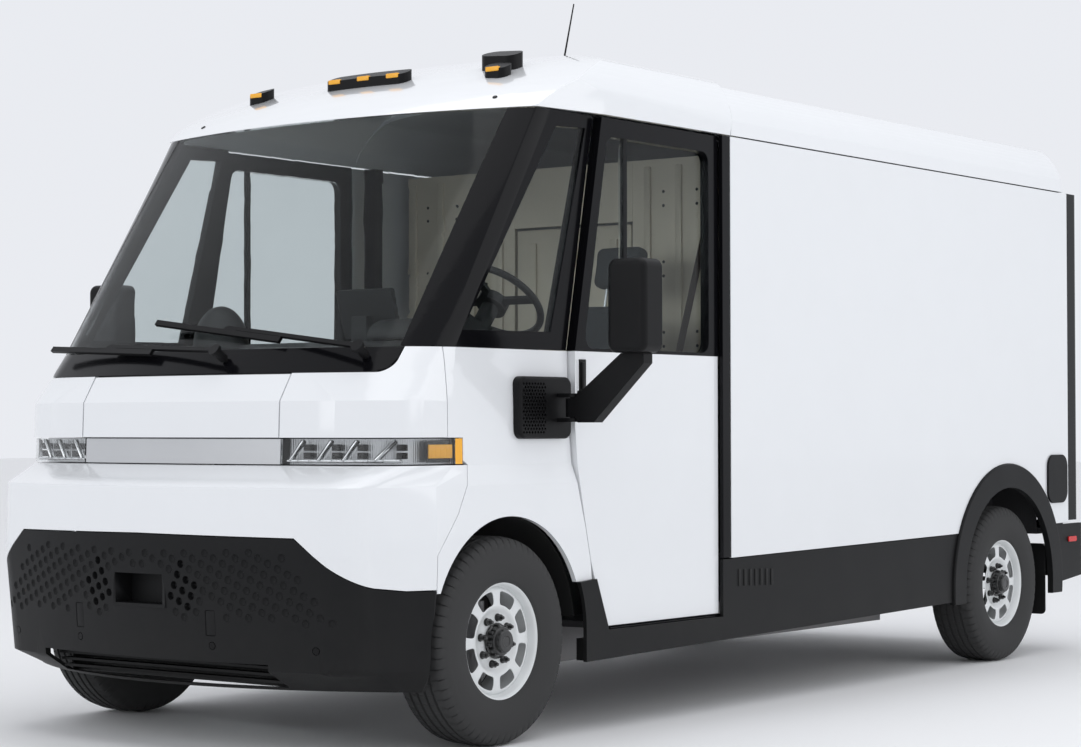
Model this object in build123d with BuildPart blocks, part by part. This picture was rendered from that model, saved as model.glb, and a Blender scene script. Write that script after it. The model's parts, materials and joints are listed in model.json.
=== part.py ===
from build123d import *
from collections import namedtuple
from math import cos, radians, sin
import os

# Electric mail delivery truck. Millimetres, +Z up, the nose faces -Y, the driver sits on +X.
# The origin lies on the ground under the centre of the whole truck.

# ---- driving dimensions -------------------------------------------------------------
overall_length = 5640.0
body_width = 2040.0
wheel_base = 3909.0
front_overhang = 832.0
tyre_radius = 371.5
tyre_width = 225.0
tyre_wall = 13.0
bead_radius = 204.0
flange_radius = 222.0
rim_width = 196.0
flange_width = 6.0
sidewall_inset = 20.0  # body side to the outer face of the tyres
arch_gap = 60.0  # tyre to wheel arch
arch_lift = 10.0
front_arch_shift = 30.0
flare_width = 116.0
rear_arch_gap = 89.0
line_rise = 13.0  # rise of the lower body lines, per metre towards the rear

belt_z = 1410.0
header_z = 2300.0
gutter_rise = 64.0
shoulder_rise = 219.0
roof_rise = 285.0
cab_roof_rise = 325.0
floor_top_z = 620.0
floor_thickness = 30.0
lower_split_z = 762.0
lamp_bottom_z = 998.0
lamp_top_z = 1091.0
mask_bottom_z = 1320.0

panel_gap = 4.0
panel_wall = 20.0
skin_wall = 18.0
glass_wall = 6.0
fit_gap = 0.5
flap_behind_axle, flap_z, flap_width, flap_height = 530.0, 865.0, 220.0, 240.0
door_gap = 4.0
door_thickness = 40.0
door_front = 418.0  # door lead edge at the belt, from the front axle
door_rear = 1385.0
cargo_front = 1447.0
bulkhead_at = 1770.0
door_travel = 800.0
rear_step_depth = 80.0
bumper_depth = 220.0
rear_door_thickness = 40.0
pin_clearance = 0.05
stub_radius = 30.0
kingpin_offset = 30.0
pin_radius = 12.0

# ---- places worked out from them ----------------------------------------------------
half_width = body_width / 2
half_length = overall_length / 2
front_axle_y = front_overhang - half_length
rear_axle_y = front_axle_y + wheel_base
door_outer_x = half_width - skin_wall - door_gap
door_inner_x = door_outer_x - door_thickness
inside_x = door_inner_x - 18
wheel_x = half_width - sidewall_inset - tyre_width / 2
kingpin_x = wheel_x - kingpin_offset
axle_z = tyre_radius
arch_radius = tyre_radius + arch_gap
rear_arch_radius = tyre_radius + rear_arch_gap
flare_radius = rear_arch_radius + flare_width
rear_face_y = half_length - rear_step_depth
cargo_rear_y = rear_face_y - 153
cargo_front_y = front_axle_y + cargo_front
cab_back_y = front_axle_y + door_rear
bulkhead_y = front_axle_y + bulkhead_at

os.makedirs("parts", exist_ok=True)


# ---- shared shapes ------------------------------------------------------------------
Station = namedtuple("Station", "z nose crown corner side rear_x")


def station(z, nose, crown_inset, crown_y, corner_inset, corner_y, side_inset, side_y, rear_inset):
    """One plan section of the cab: places across from the body side, along from the front axle."""
    return Station(
        z,
        front_axle_y + nose,
        (half_width - crown_inset, front_axle_y + crown_y),
        (half_width - corner_inset, front_axle_y + corner_y),
        (half_width - side_inset, front_axle_y + side_y),
        half_width - rear_inset,
    )


LIP = station(225, -722, 370, -590, 120, -461, 60, -415, 30)
CHIN = station(300, -802, 285, -715, 122, -572, 32, -400, 25)
BROW = station(700, -front_overhang, 240, -735, 120, -605, 20, -382, 20)
SPLIT = station(lower_split_z, -829, 240, -731, 120, -602, 21, -381, 21)
CREASE = station(925, -817, 240, -722, 123, -598, 30, -375, 28)
SHELF = station(lamp_bottom_z, -655, 230, -566, 67, -405, 52, -250, 36)
LAMP_TOP = station(lamp_top_z, -652, 230, -563, 67, -402, 53, -250, 38)
HOOD_LIP = station(lamp_top_z + panel_gap, -668, 230, -578, 64, -408, 53, -250, 38)
HOOD_CREASE = station(1222, -664, 230, -572, 66, -398, 55, -248, 40)
MASK = station(mask_bottom_z, -610, 260, -512, 75, -338, 60, -240, 42)
BELT = station(belt_z, -545, 280, -452, 80, -283, 62, -230, 44)
HEADER = station(header_z, 87, 180, 205, 76, 258, 60, 330, 44)


def moved_in(place, inset):
    """The same plan section with its wall moved inwards."""
    return Station(
        place.z,
        place.nose + inset,
        (place.crown[0] - inset / 4, place.crown[1] + inset),
        (place.corner[0] - inset, place.corner[1] + inset / 4),
        (place.side[0] - inset, place.side[1]),
        place.rear_x - inset,
    )


def outline(place, inset=0.0, back_y=cab_back_y):
    """Closed plan section of the cab, moved inwards by inset."""
    place = moved_in(place, inset)
    with BuildSketch(Plane.XY.offset(place.z)) as section:
        with BuildLine():
            crown_left = (-place.crown[0], place.crown[1])
            bow = ThreePointArc(crown_left, (0, place.nose), place.crown)
            turn = TangentArc(place.crown, place.corner, tangent=bow % 1)
            flank = Polyline(place.corner, place.side, (place.rear_x, back_y))
            mirror(turn, about=Plane.YZ)
            mirror(flank, about=Plane.YZ)
            Line((place.rear_x, back_y), (-place.rear_x, back_y))
        make_face()
    return section.sketch


def shell_band(places, wall, inset=0.0):
    """Wall of the cab between the first and the last section."""
    with BuildPart() as band:
        loft(sections=[outline(place, inset) for place in places], ruled=True)
        loft(
            sections=[outline(place, inset + wall) for place in places],
            ruled=True,
            mode=Mode.SUBTRACT,
        )
    return band.part


def side_prism(points, near=0.0, far=2000.0):
    """Prism of a side view outline on the +X side; points are (from front axle, height)."""
    with BuildPart() as prism:
        with BuildSketch(Plane.YZ.offset(near)):
            with BuildLine():
                Polyline([(front_axle_y + y, z) for y, z in points], close=True)
            make_face()
        extrude(amount=far - near)
    return prism.part


def front_prism(points, near=-3000.0, far=0.0):
    """Prism of a front view outline, symmetrical about X = 0; points are its +X half."""
    with BuildPart() as prism:
        with BuildSketch(Plane.XZ.offset(-near)):
            with BuildLine():
                Polyline([*points, *[(-x, z) for x, z in reversed(points) if x > 0]], close=True)
            make_face()
        extrude(amount=near - far)
    return prism.part


def block(x0, x1, y0, y1, z0, z1):
    """Plain box between two corners."""
    with BuildPart() as shape:
        with BuildSketch(Plane.XY.offset(z0)):
            with Locations(((x0 + x1) / 2, (y0 + y1) / 2)):
                Rectangle(x1 - x0, y1 - y0)
        extrude(amount=z1 - z0)
    return shape.part


def common(first, *others):
    """What the given solids share."""
    with BuildPart() as shared:
        add(first)
        for other in others:
            add(other, mode=Mode.INTERSECT)
    return shared.part


def wheel_well(centre_y, centre_z, radius, inner_x, outer_x):
    """Cylinder that the wheel arch leaves free, on both sides."""
    with BuildPart() as well:
        with BuildSketch(Plane.YZ.offset(inner_x)):
            with Locations((centre_y, centre_z)):
                Circle(radius)
            with Locations((centre_y, centre_z - radius)):
                Rectangle(2 * radius, 2 * radius)
        extrude(amount=outer_x - inner_x)
        mirror(about=Plane.YZ)
    return well.part


well_inner_x = wheel_x - 330
front_well = wheel_well(
    front_axle_y + front_arch_shift, axle_z + arch_lift, arch_radius, well_inner_x, half_width + 100
)
rear_well = wheel_well(rear_axle_y, axle_z, rear_arch_radius, wheel_x - 180, half_width + 100)
flare_well = wheel_well(rear_axle_y, axle_z, flare_radius, wheel_x - 180, half_width + 100)

# ---- side view lines ----------------------------------------------------------------
door_lead = [(598, 385), (516, 636), (472, 818), (433, 990), (door_front, 1134), (door_front, belt_z)]
door_top_front = 592
sill_at_front = 262.0


def lower_line(y, height):
    """Height of a lower body line at y from the front axle, rising towards the rear."""
    return height + (y - 400) / 1000 * line_rise


# ---- chassis ------------------------------------------------------------------------
rail_x, rail_width, rail_bottom_z, rail_top_z = 420.0, 70.0, 430.0, 550.0
rail_front_y, rail_rear_y = -half_length + 180, half_length - bumper_depth - 6
arm_reach = 150.0
arm_thickness = 24.0
cross_member_gap = (rail_rear_y - rail_front_y - 80) / 5

with BuildPart() as chassis_frame:
    for side_sign in (1, -1):
        add(block(side_sign * rail_x - rail_width / 2, side_sign * rail_x + rail_width / 2,
                  rail_front_y, rail_rear_y, rail_bottom_z, rail_top_z))
    for index in range(6):
        member_y = rail_front_y + index * cross_member_gap
        add(block(fit_gap - rail_x + rail_width / 2, rail_x - rail_width / 2 - fit_gap,
                  member_y, member_y + 80, rail_bottom_z + 20, rail_top_z - 20))
    # rear axle beam with its wheel stubs
    with BuildSketch(Plane.YZ.offset(-wheel_x - 60)):
        with Locations((rear_axle_y, axle_z)):
            Circle(stub_radius)
    extrude(amount=2 * wheel_x + 120)
    with BuildSketch(Plane.YZ.offset(-wheel_x + 130)):
        with Locations((rear_axle_y, axle_z)):
            Circle(stub_radius + 15)
    extrude(amount=2 * wheel_x - 260)
    # leaf springs of the rear axle, and the control arms of the front wheels
    for side_sign in (1, -1):
        spring_x = side_sign * rail_x
        spring_z = axle_z - stub_radius - 15 - fit_gap
        add(block(spring_x - 35, spring_x + 35, rear_axle_y - 560, rear_axle_y + 560,
                  spring_z - 16, spring_z))
        for end_sign in (1, -1):
            end_y = rear_axle_y + end_sign * 545
            add(block(spring_x - 25, spring_x + 25, end_y - 12, end_y + 12,
                      spring_z + fit_gap, rail_bottom_z - fit_gap))
        for level in (-arm_reach, arm_reach):
            with BuildSketch(Plane.XY.offset(axle_z + level - arm_thickness / 2)):
                with Locations((side_sign * (rail_x + kingpin_x) / 2, front_axle_y)):
                    SlotCenterToCenter(kingpin_x - rail_x, 2 * pin_radius + 26)
                with Locations((side_sign * kingpin_x, front_axle_y)):
                    Circle(pin_radius + pin_clearance, mode=Mode.SUBTRACT)
            extrude(amount=arm_thickness)
    # towers that carry the control arms on the rails
    for side_sign in (1, -1):
        tower_x = side_sign * (rail_x + rail_width / 2 + 14)
        add(block(tower_x - 13, tower_x + 13, front_axle_y - 60, front_axle_y + 60,
                  axle_z - arm_reach - 40, rail_bottom_z + 100))
chassis_frame.part.label = "chassis_frame"
export_step(chassis_frame.part, "parts/chassis_frame.step")

pack_height, pack_bottom_z = 165.0, 225.0
with BuildPart() as battery_pack:
    with BuildSketch(Plane.XY.offset(pack_bottom_z)):
        with Locations((0, (front_axle_y + rear_axle_y) / 2)):
            RectangleRounded(2 * (half_width - 330), wheel_base - 1250, 60)
    extrude(amount=pack_height)
    # charge inlet behind the flap in the cargo side
    with BuildSketch(Plane.YZ.offset(half_width - 80)):
        with Locations((rear_axle_y + flap_behind_axle, flap_z)):
            RectangleRounded(170, 200, 25)
            Circle(38, mode=Mode.SUBTRACT)
    extrude(amount=55)
battery_pack.part.label = "battery_pack"
export_step(battery_pack.part, "parts/battery_pack.step")

with BuildPart() as drive_unit:
    with BuildSketch(Plane.YZ.offset(-240)):
        with Locations((front_axle_y, axle_z - 20)):
            Circle(115)
    extrude(amount=330)
    with BuildSketch(Plane.YZ.offset(90)):
        with Locations((front_axle_y, axle_z - 20)):
            RectangleRounded(300, 210, 50)
    extrude(amount=130)
drive_unit.part.label = "drive_unit"
export_step(drive_unit.part, "parts/drive_unit.step")

# ---- floors -------------------------------------------------------------------------
floor_x = inside_x - 4
step_x, step_z = 700.0, 400.0
toe_board_y = front_axle_y + 470
pedal_pivot_y, pedal_pivot_z, pedal_pin_radius = toe_board_y + 62, 1010.0, 8.0
brake_x, accelerator_x, pedal_hub_width = half_width - 640, half_width - 480, 26.0
seat_x = half_width - 570
seat_y = front_axle_y + 1120
pedestal_top_z = 940.0

with BuildPart() as cab_floor:
    add(block(-floor_x, floor_x, toe_board_y, bulkhead_y - 12, floor_top_z - floor_thickness, floor_top_z))
    # step wells beside the doors
    for side_sign in (1, -1):
        low_x, high_x = sorted((side_sign * step_x, side_sign * (floor_x + 9)))
        add(block(low_x, high_x, front_axle_y + 640, cab_back_y - 20, step_z, floor_top_z + 9),
            mode=Mode.SUBTRACT)
    for side_sign in (1, -1):
        low_x, high_x = sorted((side_sign * (step_x + fit_gap), side_sign * floor_x))
        add(block(low_x, high_x, front_axle_y + 600, cab_back_y - 10, step_z - 25, step_z))
        low_x, high_x = sorted((side_sign * (step_x - 20), side_sign * step_x))
        add(block(low_x, high_x, front_axle_y + 640, cab_back_y - 20,
                  step_z, floor_top_z - floor_thickness - fit_gap))
    # toe board, and the two ears and the pin that carry the pedals
    add(block(30 - floor_x, floor_x - 30, toe_board_y, toe_board_y + 12,
              floor_top_z + fit_gap, belt_z - 220))
    with BuildSketch(Plane.YZ.offset(brake_x - 40)):
        with Locations((pedal_pivot_y, pedal_pivot_z)):
            Circle(pedal_pin_radius)
    extrude(amount=accelerator_x - brake_x + 80)
    for ear_x in (brake_x - 46, accelerator_x + 34):
        add(block(ear_x, ear_x + 12, toe_board_y + 12, pedal_pivot_y + 18,
                  pedal_pivot_z - 18, pedal_pivot_z + 18))
    # seat pedestal with the two slide rails
    add(block(seat_x - 170, seat_x + 170, seat_y - 150, seat_y + 170,
              floor_top_z + fit_gap, pedestal_top_z - 30))
    for rail_sign in (1, -1):
        add(block(seat_x + rail_sign * 140 - 20, seat_x + rail_sign * 140 + 20, seat_y - 190, seat_y + 210,
                  pedestal_top_z - 30 + fit_gap, pedestal_top_z))
cab_floor.part.label = "cab_floor"
export_step(cab_floor.part, "parts/cab_floor.step")

house_x, house_top_z = wheel_x - 200, axle_z + rear_arch_radius + 30
house_half = rear_arch_radius + 20
with BuildPart() as cargo_floor:
    add(block(-floor_x, floor_x, bulkhead_y + 12, rear_axle_y - house_half,
              floor_top_z - floor_thickness, floor_top_z))
    add(block(-house_x, house_x, rear_axle_y - house_half + fit_gap, rear_axle_y + house_half - fit_gap,
              floor_top_z - floor_thickness, floor_top_z))
    add(block(-floor_x, floor_x, rear_axle_y + house_half, cargo_rear_y + 2,
              floor_top_z - floor_thickness, floor_top_z))
    # plates of the rear wheel houses
    for side_sign in (1, -1):
        low_x, high_x = sorted((side_sign * (house_x + fit_gap), side_sign * (house_x + 12)))
        add(block(low_x, high_x, rear_axle_y - house_half + 12, rear_axle_y + house_half - 12,
                  floor_top_z - floor_thickness, house_top_z))
        low_x, high_x = sorted((side_sign * (house_x + fit_gap), side_sign * floor_x))
        add(block(low_x, high_x, rear_axle_y - house_half + fit_gap, rear_axle_y + house_half - fit_gap,
                  house_top_z + fit_gap, house_top_z + 12))
        for end_sign in (1, -1):
            near_y, far_y = sorted((rear_axle_y + end_sign * (house_half - 11),
                                    rear_axle_y + end_sign * (house_half - fit_gap)))
            add(block(low_x, high_x, near_y, far_y, floor_top_z + fit_gap, house_top_z))
cargo_floor.part.label = "cargo_floor"
export_step(cargo_floor.part, "parts/cargo_floor.step")

walk_half, walk_top_z = 320.0, 2010.0
with BuildPart() as bulkhead:
    for side_sign in (1, -1):
        low_x, high_x = sorted((side_sign * walk_half, side_sign * floor_x))
        add(block(low_x, high_x, bulkhead_y - 10, bulkhead_y + 10, floor_top_z + fit_gap, header_z - 30))
    add(block(fit_gap - walk_half, walk_half - fit_gap, bulkhead_y - 10, bulkhead_y + 10,
              walk_top_z, header_z - 30))
bulkhead.part.label = "bulkhead"
export_step(bulkhead.part, "parts/bulkhead.step")

# ---- nose ---------------------------------------------------------------------------
nose_cut_x = half_width - 524  # hood seams, and the inner ends of the headlamps
lamp_front_end, lamp_rear_end = -243.0, -205.0

upper_split = [(0, lower_split_z), (half_width - 340, lower_split_z - 6), (half_width - 220, 661),
               (half_width - 120, 587), (half_width - 70, 574), (2000, 572)]
above_split = front_prism([*upper_split, (2000, 1200), (0, 1200)])
below_split = front_prism([(x, z - panel_gap) for x, z in upper_split] + [(2000, 100), (0, 100)])
fascia_seam = [(-180, lamp_bottom_z + 2), (-205, 930), (-262, 830), (-335, 745), (-380, 690)]
ahead_of_seam = side_prism([*fascia_seam, (-380, 100), (-1500, 100), (-1500, lamp_bottom_z + 2)], -2000)
ahead_of_pillar = side_prism([(-283, 900), (-283, 1600), (-1500, 1600), (-1500, 900)], -2000)
mask_corner_x = half_width - 158

with BuildPart() as cowl_zone:
    with BuildSketch(Plane.XZ.offset(3000)):
        with Locations((0, mask_bottom_z + 120)):
            RectangleRounded(2 * mask_corner_x, 240, 45)
    extrude(amount=-3000)

with BuildPart() as front_fascia:
    add(shell_band([CHIN, BROW, SPLIT, CREASE, SHELF], panel_wall))
    add(above_split, mode=Mode.INTERSECT)
    add(ahead_of_seam, mode=Mode.INTERSECT)
    add(front_well, mode=Mode.SUBTRACT)
    # corner panels beside the hood
    add(common(shell_band([HOOD_LIP, HOOD_CREASE, MASK, BELT], panel_wall), ahead_of_pillar)
        - block(-nose_cut_x - 3, nose_cut_x + 3, -4000, 0, 1000, 1600)
        - cowl_zone.part)
front_fascia.part.label = "front_fascia"
export_step(front_fascia.part, "parts/front_fascia.step")

fender_side = [(-283 + panel_gap, belt_z), (-283 + panel_gap, 1060)]
fender_side += [(y + panel_gap, z) for y, z in fascia_seam]
fender_side += [(-380, 560), (520, 560)]
fender_side += [(y - panel_gap - 1, z) for y, z in door_lead[1:]]
lamp_pocket = block(-2000, 2000, -4000, front_axle_y + lamp_rear_end + 4, lamp_bottom_z - 3, lamp_top_z + 3)
with BuildPart() as fenders:
    add(shell_band([BROW._replace(z=560), SPLIT, CREASE, SHELF, LAMP_TOP, HOOD_CREASE, MASK, BELT],
                   panel_wall))
    add(side_prism(fender_side, -2000), mode=Mode.INTERSECT)
    add(front_well, mode=Mode.SUBTRACT)
    add(lamp_pocket, mode=Mode.SUBTRACT)
fenders.part.label = "fenders"
export_step(fenders.part, "parts/fenders.step")

pocket_half, pocket_low_z, pocket_high_z = 118.0, 512.0, 618.0
slot_half, slot_low_z, slot_high_z = 560.0, 236.0, 322.0
with BuildPart() as bumper_cover:
    add(shell_band([LIP, CHIN, BROW, SPLIT], 24))
    add(below_split, mode=Mode.INTERSECT)
    add(side_prism([(-1500, 100), (-372, 100), (-405, 300), (-380, 560), (-380, 900), (-1500, 900)], -2000),
        mode=Mode.INTERSECT)
    add(front_well, mode=Mode.SUBTRACT)
    add(block(-pocket_half, pocket_half, -4000, front_axle_y - 500, pocket_low_z, pocket_high_z),
        mode=Mode.SUBTRACT)
    add(block(-slot_half, slot_half, -4000, front_axle_y - 500, slot_low_z, slot_high_z),
        mode=Mode.SUBTRACT)
    # tow pocket cup behind the opening
    cup_y = front_axle_y - 740
    add(block(-pocket_half - 12, pocket_half + 12, cup_y, cup_y + 10, pocket_low_z - 12, pocket_high_z + 12))
    for low_z, high_z in ((pocket_low_z - 12, pocket_low_z), (pocket_high_z, pocket_high_z + 12)):
        add(block(-pocket_half - 12, pocket_half + 12, cup_y - 80, cup_y, low_z, high_z))
    for side_sign in (1, -1):
        low_x, high_x = sorted((side_sign * pocket_half, side_sign * (pocket_half + 12)))
        add(block(low_x, high_x, cup_y - 80, cup_y, pocket_low_z, pocket_high_z))
    # blades of the lower grille
    for blade in range(3):
        blade_z = slot_low_z + 14 + blade * 25
        blade_y = front_axle_y - 665 - blade * 12
        add(block(5 - slot_half, slot_half - 5, blade_y, blade_y + 40, blade_z, blade_z + 9))
bumper_cover.part.label = "bumper_cover"
export_step(bumper_cover.part, "parts/bumper_cover.step")

with BuildPart() as nose_trim_bar:
    add(shell_band([SHELF._replace(z=lamp_bottom_z + 4), LAMP_TOP], 14))
    add(block(5 - nose_cut_x, nose_cut_x - 5, -4000, front_axle_y, 900, 1200), mode=Mode.INTERSECT)
nose_trim_bar.part.label = "nose_trim_bar"
export_step(nose_trim_bar.part, "parts/nose_trim_bar.step")

lamp_low, lamp_high = SHELF._replace(z=lamp_bottom_z + 4), LAMP_TOP
lamp_zone_left = block(nose_cut_x, 2000, -4000, front_axle_y + lamp_front_end, 900, 1200)
turn_zone_left = block(half_width - 200, 2000, front_axle_y + lamp_front_end + fit_gap,
                       front_axle_y + lamp_rear_end, 900, 1200)
with BuildPart() as headlamp_lenses:
    add(shell_band([lamp_low, lamp_high], 5))
    add(lamp_zone_left + mirror(lamp_zone_left, about=Plane.YZ, mode=Mode.PRIVATE), mode=Mode.INTERSECT)
headlamp_lenses.part.label = "headlamp_lenses"
export_step(headlamp_lenses.part, "parts/headlamp_lenses.step")

lamp_zone_back = block(nose_cut_x, 2000, -4000, front_axle_y + lamp_rear_end, 900, 1200)
with BuildPart() as headlamp_housings:
    add(shell_band([lamp_low, lamp_high], 8, 45))
    add(lamp_zone_back + mirror(lamp_zone_back, about=Plane.YZ, mode=Mode.PRIVATE), mode=Mode.INTERSECT)
headlamp_housings.part.label = "headlamp_housings"
export_step(headlamp_housings.part, "parts/headlamp_housings.step")

with BuildPart() as hood_panel:
    add(shell_band([HOOD_LIP, HOOD_CREASE, MASK._replace(z=mask_bottom_z - 3)], panel_wall))
    add(block(3 - nose_cut_x, nose_cut_x - 3, -4000, front_axle_y - 450, 1000, 1500), mode=Mode.INTERSECT)
hood_panel.part.label = "hood_panel"
export_step(hood_panel.part, "parts/hood_panel.step")

# ---- windscreen, pillars and quarter windows ----------------------------------------
pillar_x = half_width - 171
quarter_pane = [(-190, belt_z + 62), (355, header_z - 62), (533, header_z - 54), (315, belt_z + 68)]
divider = [(365, belt_z + 3), (545, header_z - 3)]
glass_bottom, glass_top = belt_z + 2, header_z - 2


def raked(low, high, z):
    """Section of the straight wall between two sections at one height."""
    share = (z - low.z) / (high.z - low.z)

    def mix(a, b):
        return a + (b - a) * share

    return Station(
        z,
        mix(low.nose, high.nose),
        tuple(mix(a, b) for a, b in zip(low.crown, high.crown)),
        tuple(mix(a, b) for a, b in zip(low.corner, high.corner)),
        tuple(mix(a, b) for a, b in zip(low.side, high.side)),
        mix(low.rear_x, high.rear_x),
    )


glass_low, glass_high = raked(BELT, HEADER, glass_bottom), raked(BELT, HEADER, glass_top)
with BuildPart() as windshield:
    add(shell_band([glass_low, glass_high], glass_wall, 1))
    add(block(fit_gap - pillar_x, pillar_x - fit_gap, -4000, front_axle_y + 260, 1000, 3000),
        mode=Mode.INTERSECT)
windshield.part.label = "windshield"
export_step(windshield.part, "parts/windshield.step")

divider_zone = side_prism([(-900, belt_z - 5), (divider[0][0] + 40, belt_z - 5),
                           (divider[1][0] + 34, header_z + 5), (-900, header_z + 5)], -2000)
quarter_left = side_prism(quarter_pane, half_width - 200)

# ---- wipers: their pivots, and the plane that each one sweeps -----------------------
wiper_shaft_radius = 9.0
wiper_pivots = {
    "left": (half_width - 260, belt_z - 36, half_width - 840),
    "right": (half_width - 840, belt_z - 41, 690 - half_width),
}
wiper_height = 56.0
wiper_length, wiper_arm, blade_length = 1000.0, 640.0, 640.0
wiper_park = 6.5
windscreen_slope = (HEADER.nose - BELT.nose) / (header_z - belt_z)
crown_rate = (BELT.crown[1] - BELT.nose) / BELT.crown[0] ** 2


def wiper_plane(pivot_x, pivot_z, touch_x):
    """Plane of the sweep: its origin is the pivot, its normal leaves the glass."""
    tilt = 2 * crown_rate * touch_x
    normal = Vector(tilt, -1, windscreen_slope).normalized()
    surface_y = BELT.nose + windscreen_slope * (pivot_z - belt_z) + crown_rate * pivot_x**2
    origin = Vector(pivot_x, surface_y, pivot_z) + normal * wiper_height
    across = (Vector(-1, 0, 0) - normal * Vector(-1, 0, 0).dot(normal)).normalized()
    return Plane(origin=origin, x_dir=across, z_dir=normal)


with BuildPart() as windshield_frame:
    add(shell_band([glass_low, glass_high], 34))
    add(divider_zone, mode=Mode.INTERSECT)
    add(block(-pillar_x, pillar_x, -4000, 4000, 1000, 3000), mode=Mode.SUBTRACT)
    add(quarter_left + mirror(quarter_left, about=Plane.YZ, mode=Mode.PRIVATE), mode=Mode.SUBTRACT)
    # cowl below the glass
    add(common(
        shell_band([MASK, BELT._replace(z=belt_z - 1)], 16),
        front_prism([(0, mask_bottom_z + 2), (mask_corner_x - 55, mask_bottom_z + 2),
                     (mask_corner_x - 17, mask_bottom_z + 15), (mask_corner_x - 4, mask_bottom_z + 50),
                     (mask_corner_x - 4, belt_z + 10), (0, belt_z + 10)])))
    # holes of the wiper shafts
    for pivot in wiper_pivots.values():
        with BuildSketch(wiper_plane(*pivot)):
            Circle(wiper_shaft_radius + fit_gap)
        extrude(amount=-wiper_height - 60, mode=Mode.SUBTRACT)
windshield_frame.part.label = "windshield_frame"
export_step(windshield_frame.part, "parts/windshield_frame.step")


with BuildPart() as quarter_glass:
    add(shell_band([glass_low, glass_high], glass_wall, 6))
    pane = side_prism([(y + dy, z + dz) for (y, z), (dy, dz)
                       in zip(quarter_pane, ((2, 1), (1, -2), (-2, -1), (-1, 1)))], half_width - 199)
    add(pane + mirror(pane, about=Plane.YZ, mode=Mode.PRIVATE), mode=Mode.INTERSECT)
quarter_glass.part.label = "quarter_glass"
export_step(quarter_glass.part, "parts/quarter_glass.step")

def wiper(pivot_x, pivot_z, touch_x):
    """Arm, blade and shaft of one wiper in its parked place."""
    sweep = wiper_plane(pivot_x, pivot_z, touch_x)
    with BuildPart() as piece:
        with BuildSketch(sweep):
            with Locations((0, 0)):
                Circle(24)
            with Locations(Rotation(0, 0, -wiper_park)):
                with Locations((wiper_arm / 2, 0)):
                    Rectangle(wiper_arm, 16)
                with Locations((wiper_length - blade_length / 2, 20)):
                    Rectangle(blade_length, 22)
                with Locations((wiper_arm - 20, 14)):
                    Rectangle(60, 30)
        extrude(amount=14)
        with BuildSketch(sweep):
            Circle(wiper_shaft_radius)
        extrude(amount=-wiper_height - 30)
        with BuildSketch(sweep):
            Circle(17)
        extrude(amount=-wiper_height + 12)
    return piece.part


with BuildPart() as wiper_left:
    add(wiper(*wiper_pivots["left"]))
wiper_left.part.label = "wiper_left"
export_step(wiper_left.part, "parts/wiper_left.step")
with BuildPart() as wiper_right:
    add(wiper(*wiper_pivots["right"]))
wiper_right.part.label = "wiper_right"
export_step(wiper_right.part, "parts/wiper_right.step")

# ---- roof ---------------------------------------------------------------------------
roof_seam_low, roof_seam_slope = cargo_front + 5, 0.35
roof_rear_y = rear_face_y - 190


def roof_section(rise, inset, plane):
    """Closed roof section across the truck, from the gutter line up."""
    gutter_z = header_z + gutter_rise
    with BuildSketch(plane) as section:
        with BuildLine():
            edge = half_width - inset
            shoulder_z = header_z + shoulder_rise + (rise - roof_rise) / 3 - inset
            crown_z = header_z + rise - inset
            side = Polyline((edge, header_z + 2), (edge - 10, gutter_z))
            bend = ThreePointArc(
                (edge - 10, gutter_z),
                (edge - 52, header_z + shoulder_rise - 68 - inset * 0.7),
                (edge - 120, shoulder_z),
            )
            mirror(side, about=Plane.YZ)
            mirror(bend, about=Plane.YZ)
            Spline(
                (edge - 120, shoulder_z),
                (half_width / 2, crown_z - 12),
                (0, crown_z),
                (-half_width / 2, crown_z - 12),
                (120 - edge, shoulder_z),
            )
            Line((edge, header_z + 2), (-edge, header_z + 2))
        make_face()
    return section.sketch


def brow(inset, gap=0.0):
    """Roof of the cab in side view, turned about an upright axis so that its front is bowed."""
    bow_radius, half_turn = 3000, 50
    axis_y = front_axle_y + 87 + bow_radius
    profile = [(92, header_z + 3), (205, header_z + 82), (395, header_z + 172), (560, header_z + 232),
               (760, header_z + 284), (1100, header_z + cab_roof_rise), (1400, header_z + cab_roof_rise - 14),
               (1700, header_z + cab_roof_rise - 34)]
    line = [(y - 87 - bow_radius + inset * 0.7, z - inset) for y, z in profile]
    back_y = -460
    start = Plane(
        origin=(0, axis_y, 0),
        x_dir=Vector(0, 1, 0).rotate(Axis.Z, -half_turn),
        z_dir=Vector(1, 0, 0).rotate(Axis.Z, -half_turn),
    )
    with BuildPart() as shape:
        with BuildSketch(start):
            with BuildLine():
                Spline(line)
                Polyline(line[-1], (back_y, line[-1][1]), (back_y, header_z - 60),
                         (line[0][0], header_z - 60), line[0])
            make_face()
        revolve(axis=Axis((0, axis_y, 0), (0, 0, 1)), revolution_arc=2 * half_turn)
    return shape.part


def roof_block(rise, inset, start_y, end_y):
    """Roof section drawn out along the truck."""
    with BuildPart() as shape:
        extrude(roof_section(rise, inset, Plane.XZ.offset(-start_y)), amount=start_y - end_y)
    return shape.part


def seam_side(gap, sign):
    """Everything ahead of (sign 1) or behind (sign -1) the slanted seam between the two roofs."""
    low_y, high_z = roof_seam_low + gap, header_z + 500
    high_y = low_y + roof_seam_slope * 500
    return side_prism([(low_y, header_z), (high_y, high_z), (high_y - sign * 4000, high_z),
                       (low_y - sign * 4000, header_z)], -2000)


roof_wall = 22.0
roof_plan = HEADER._replace(
    nose=HEADER.nose - 8,
    crown=(HEADER.crown[0] + 4, HEADER.crown[1] - 8),
    corner=(HEADER.corner[0] + 10, HEADER.corner[1]),
    side=(half_width - 16, front_axle_y + 600),
    rear_x=half_width,
)


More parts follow.
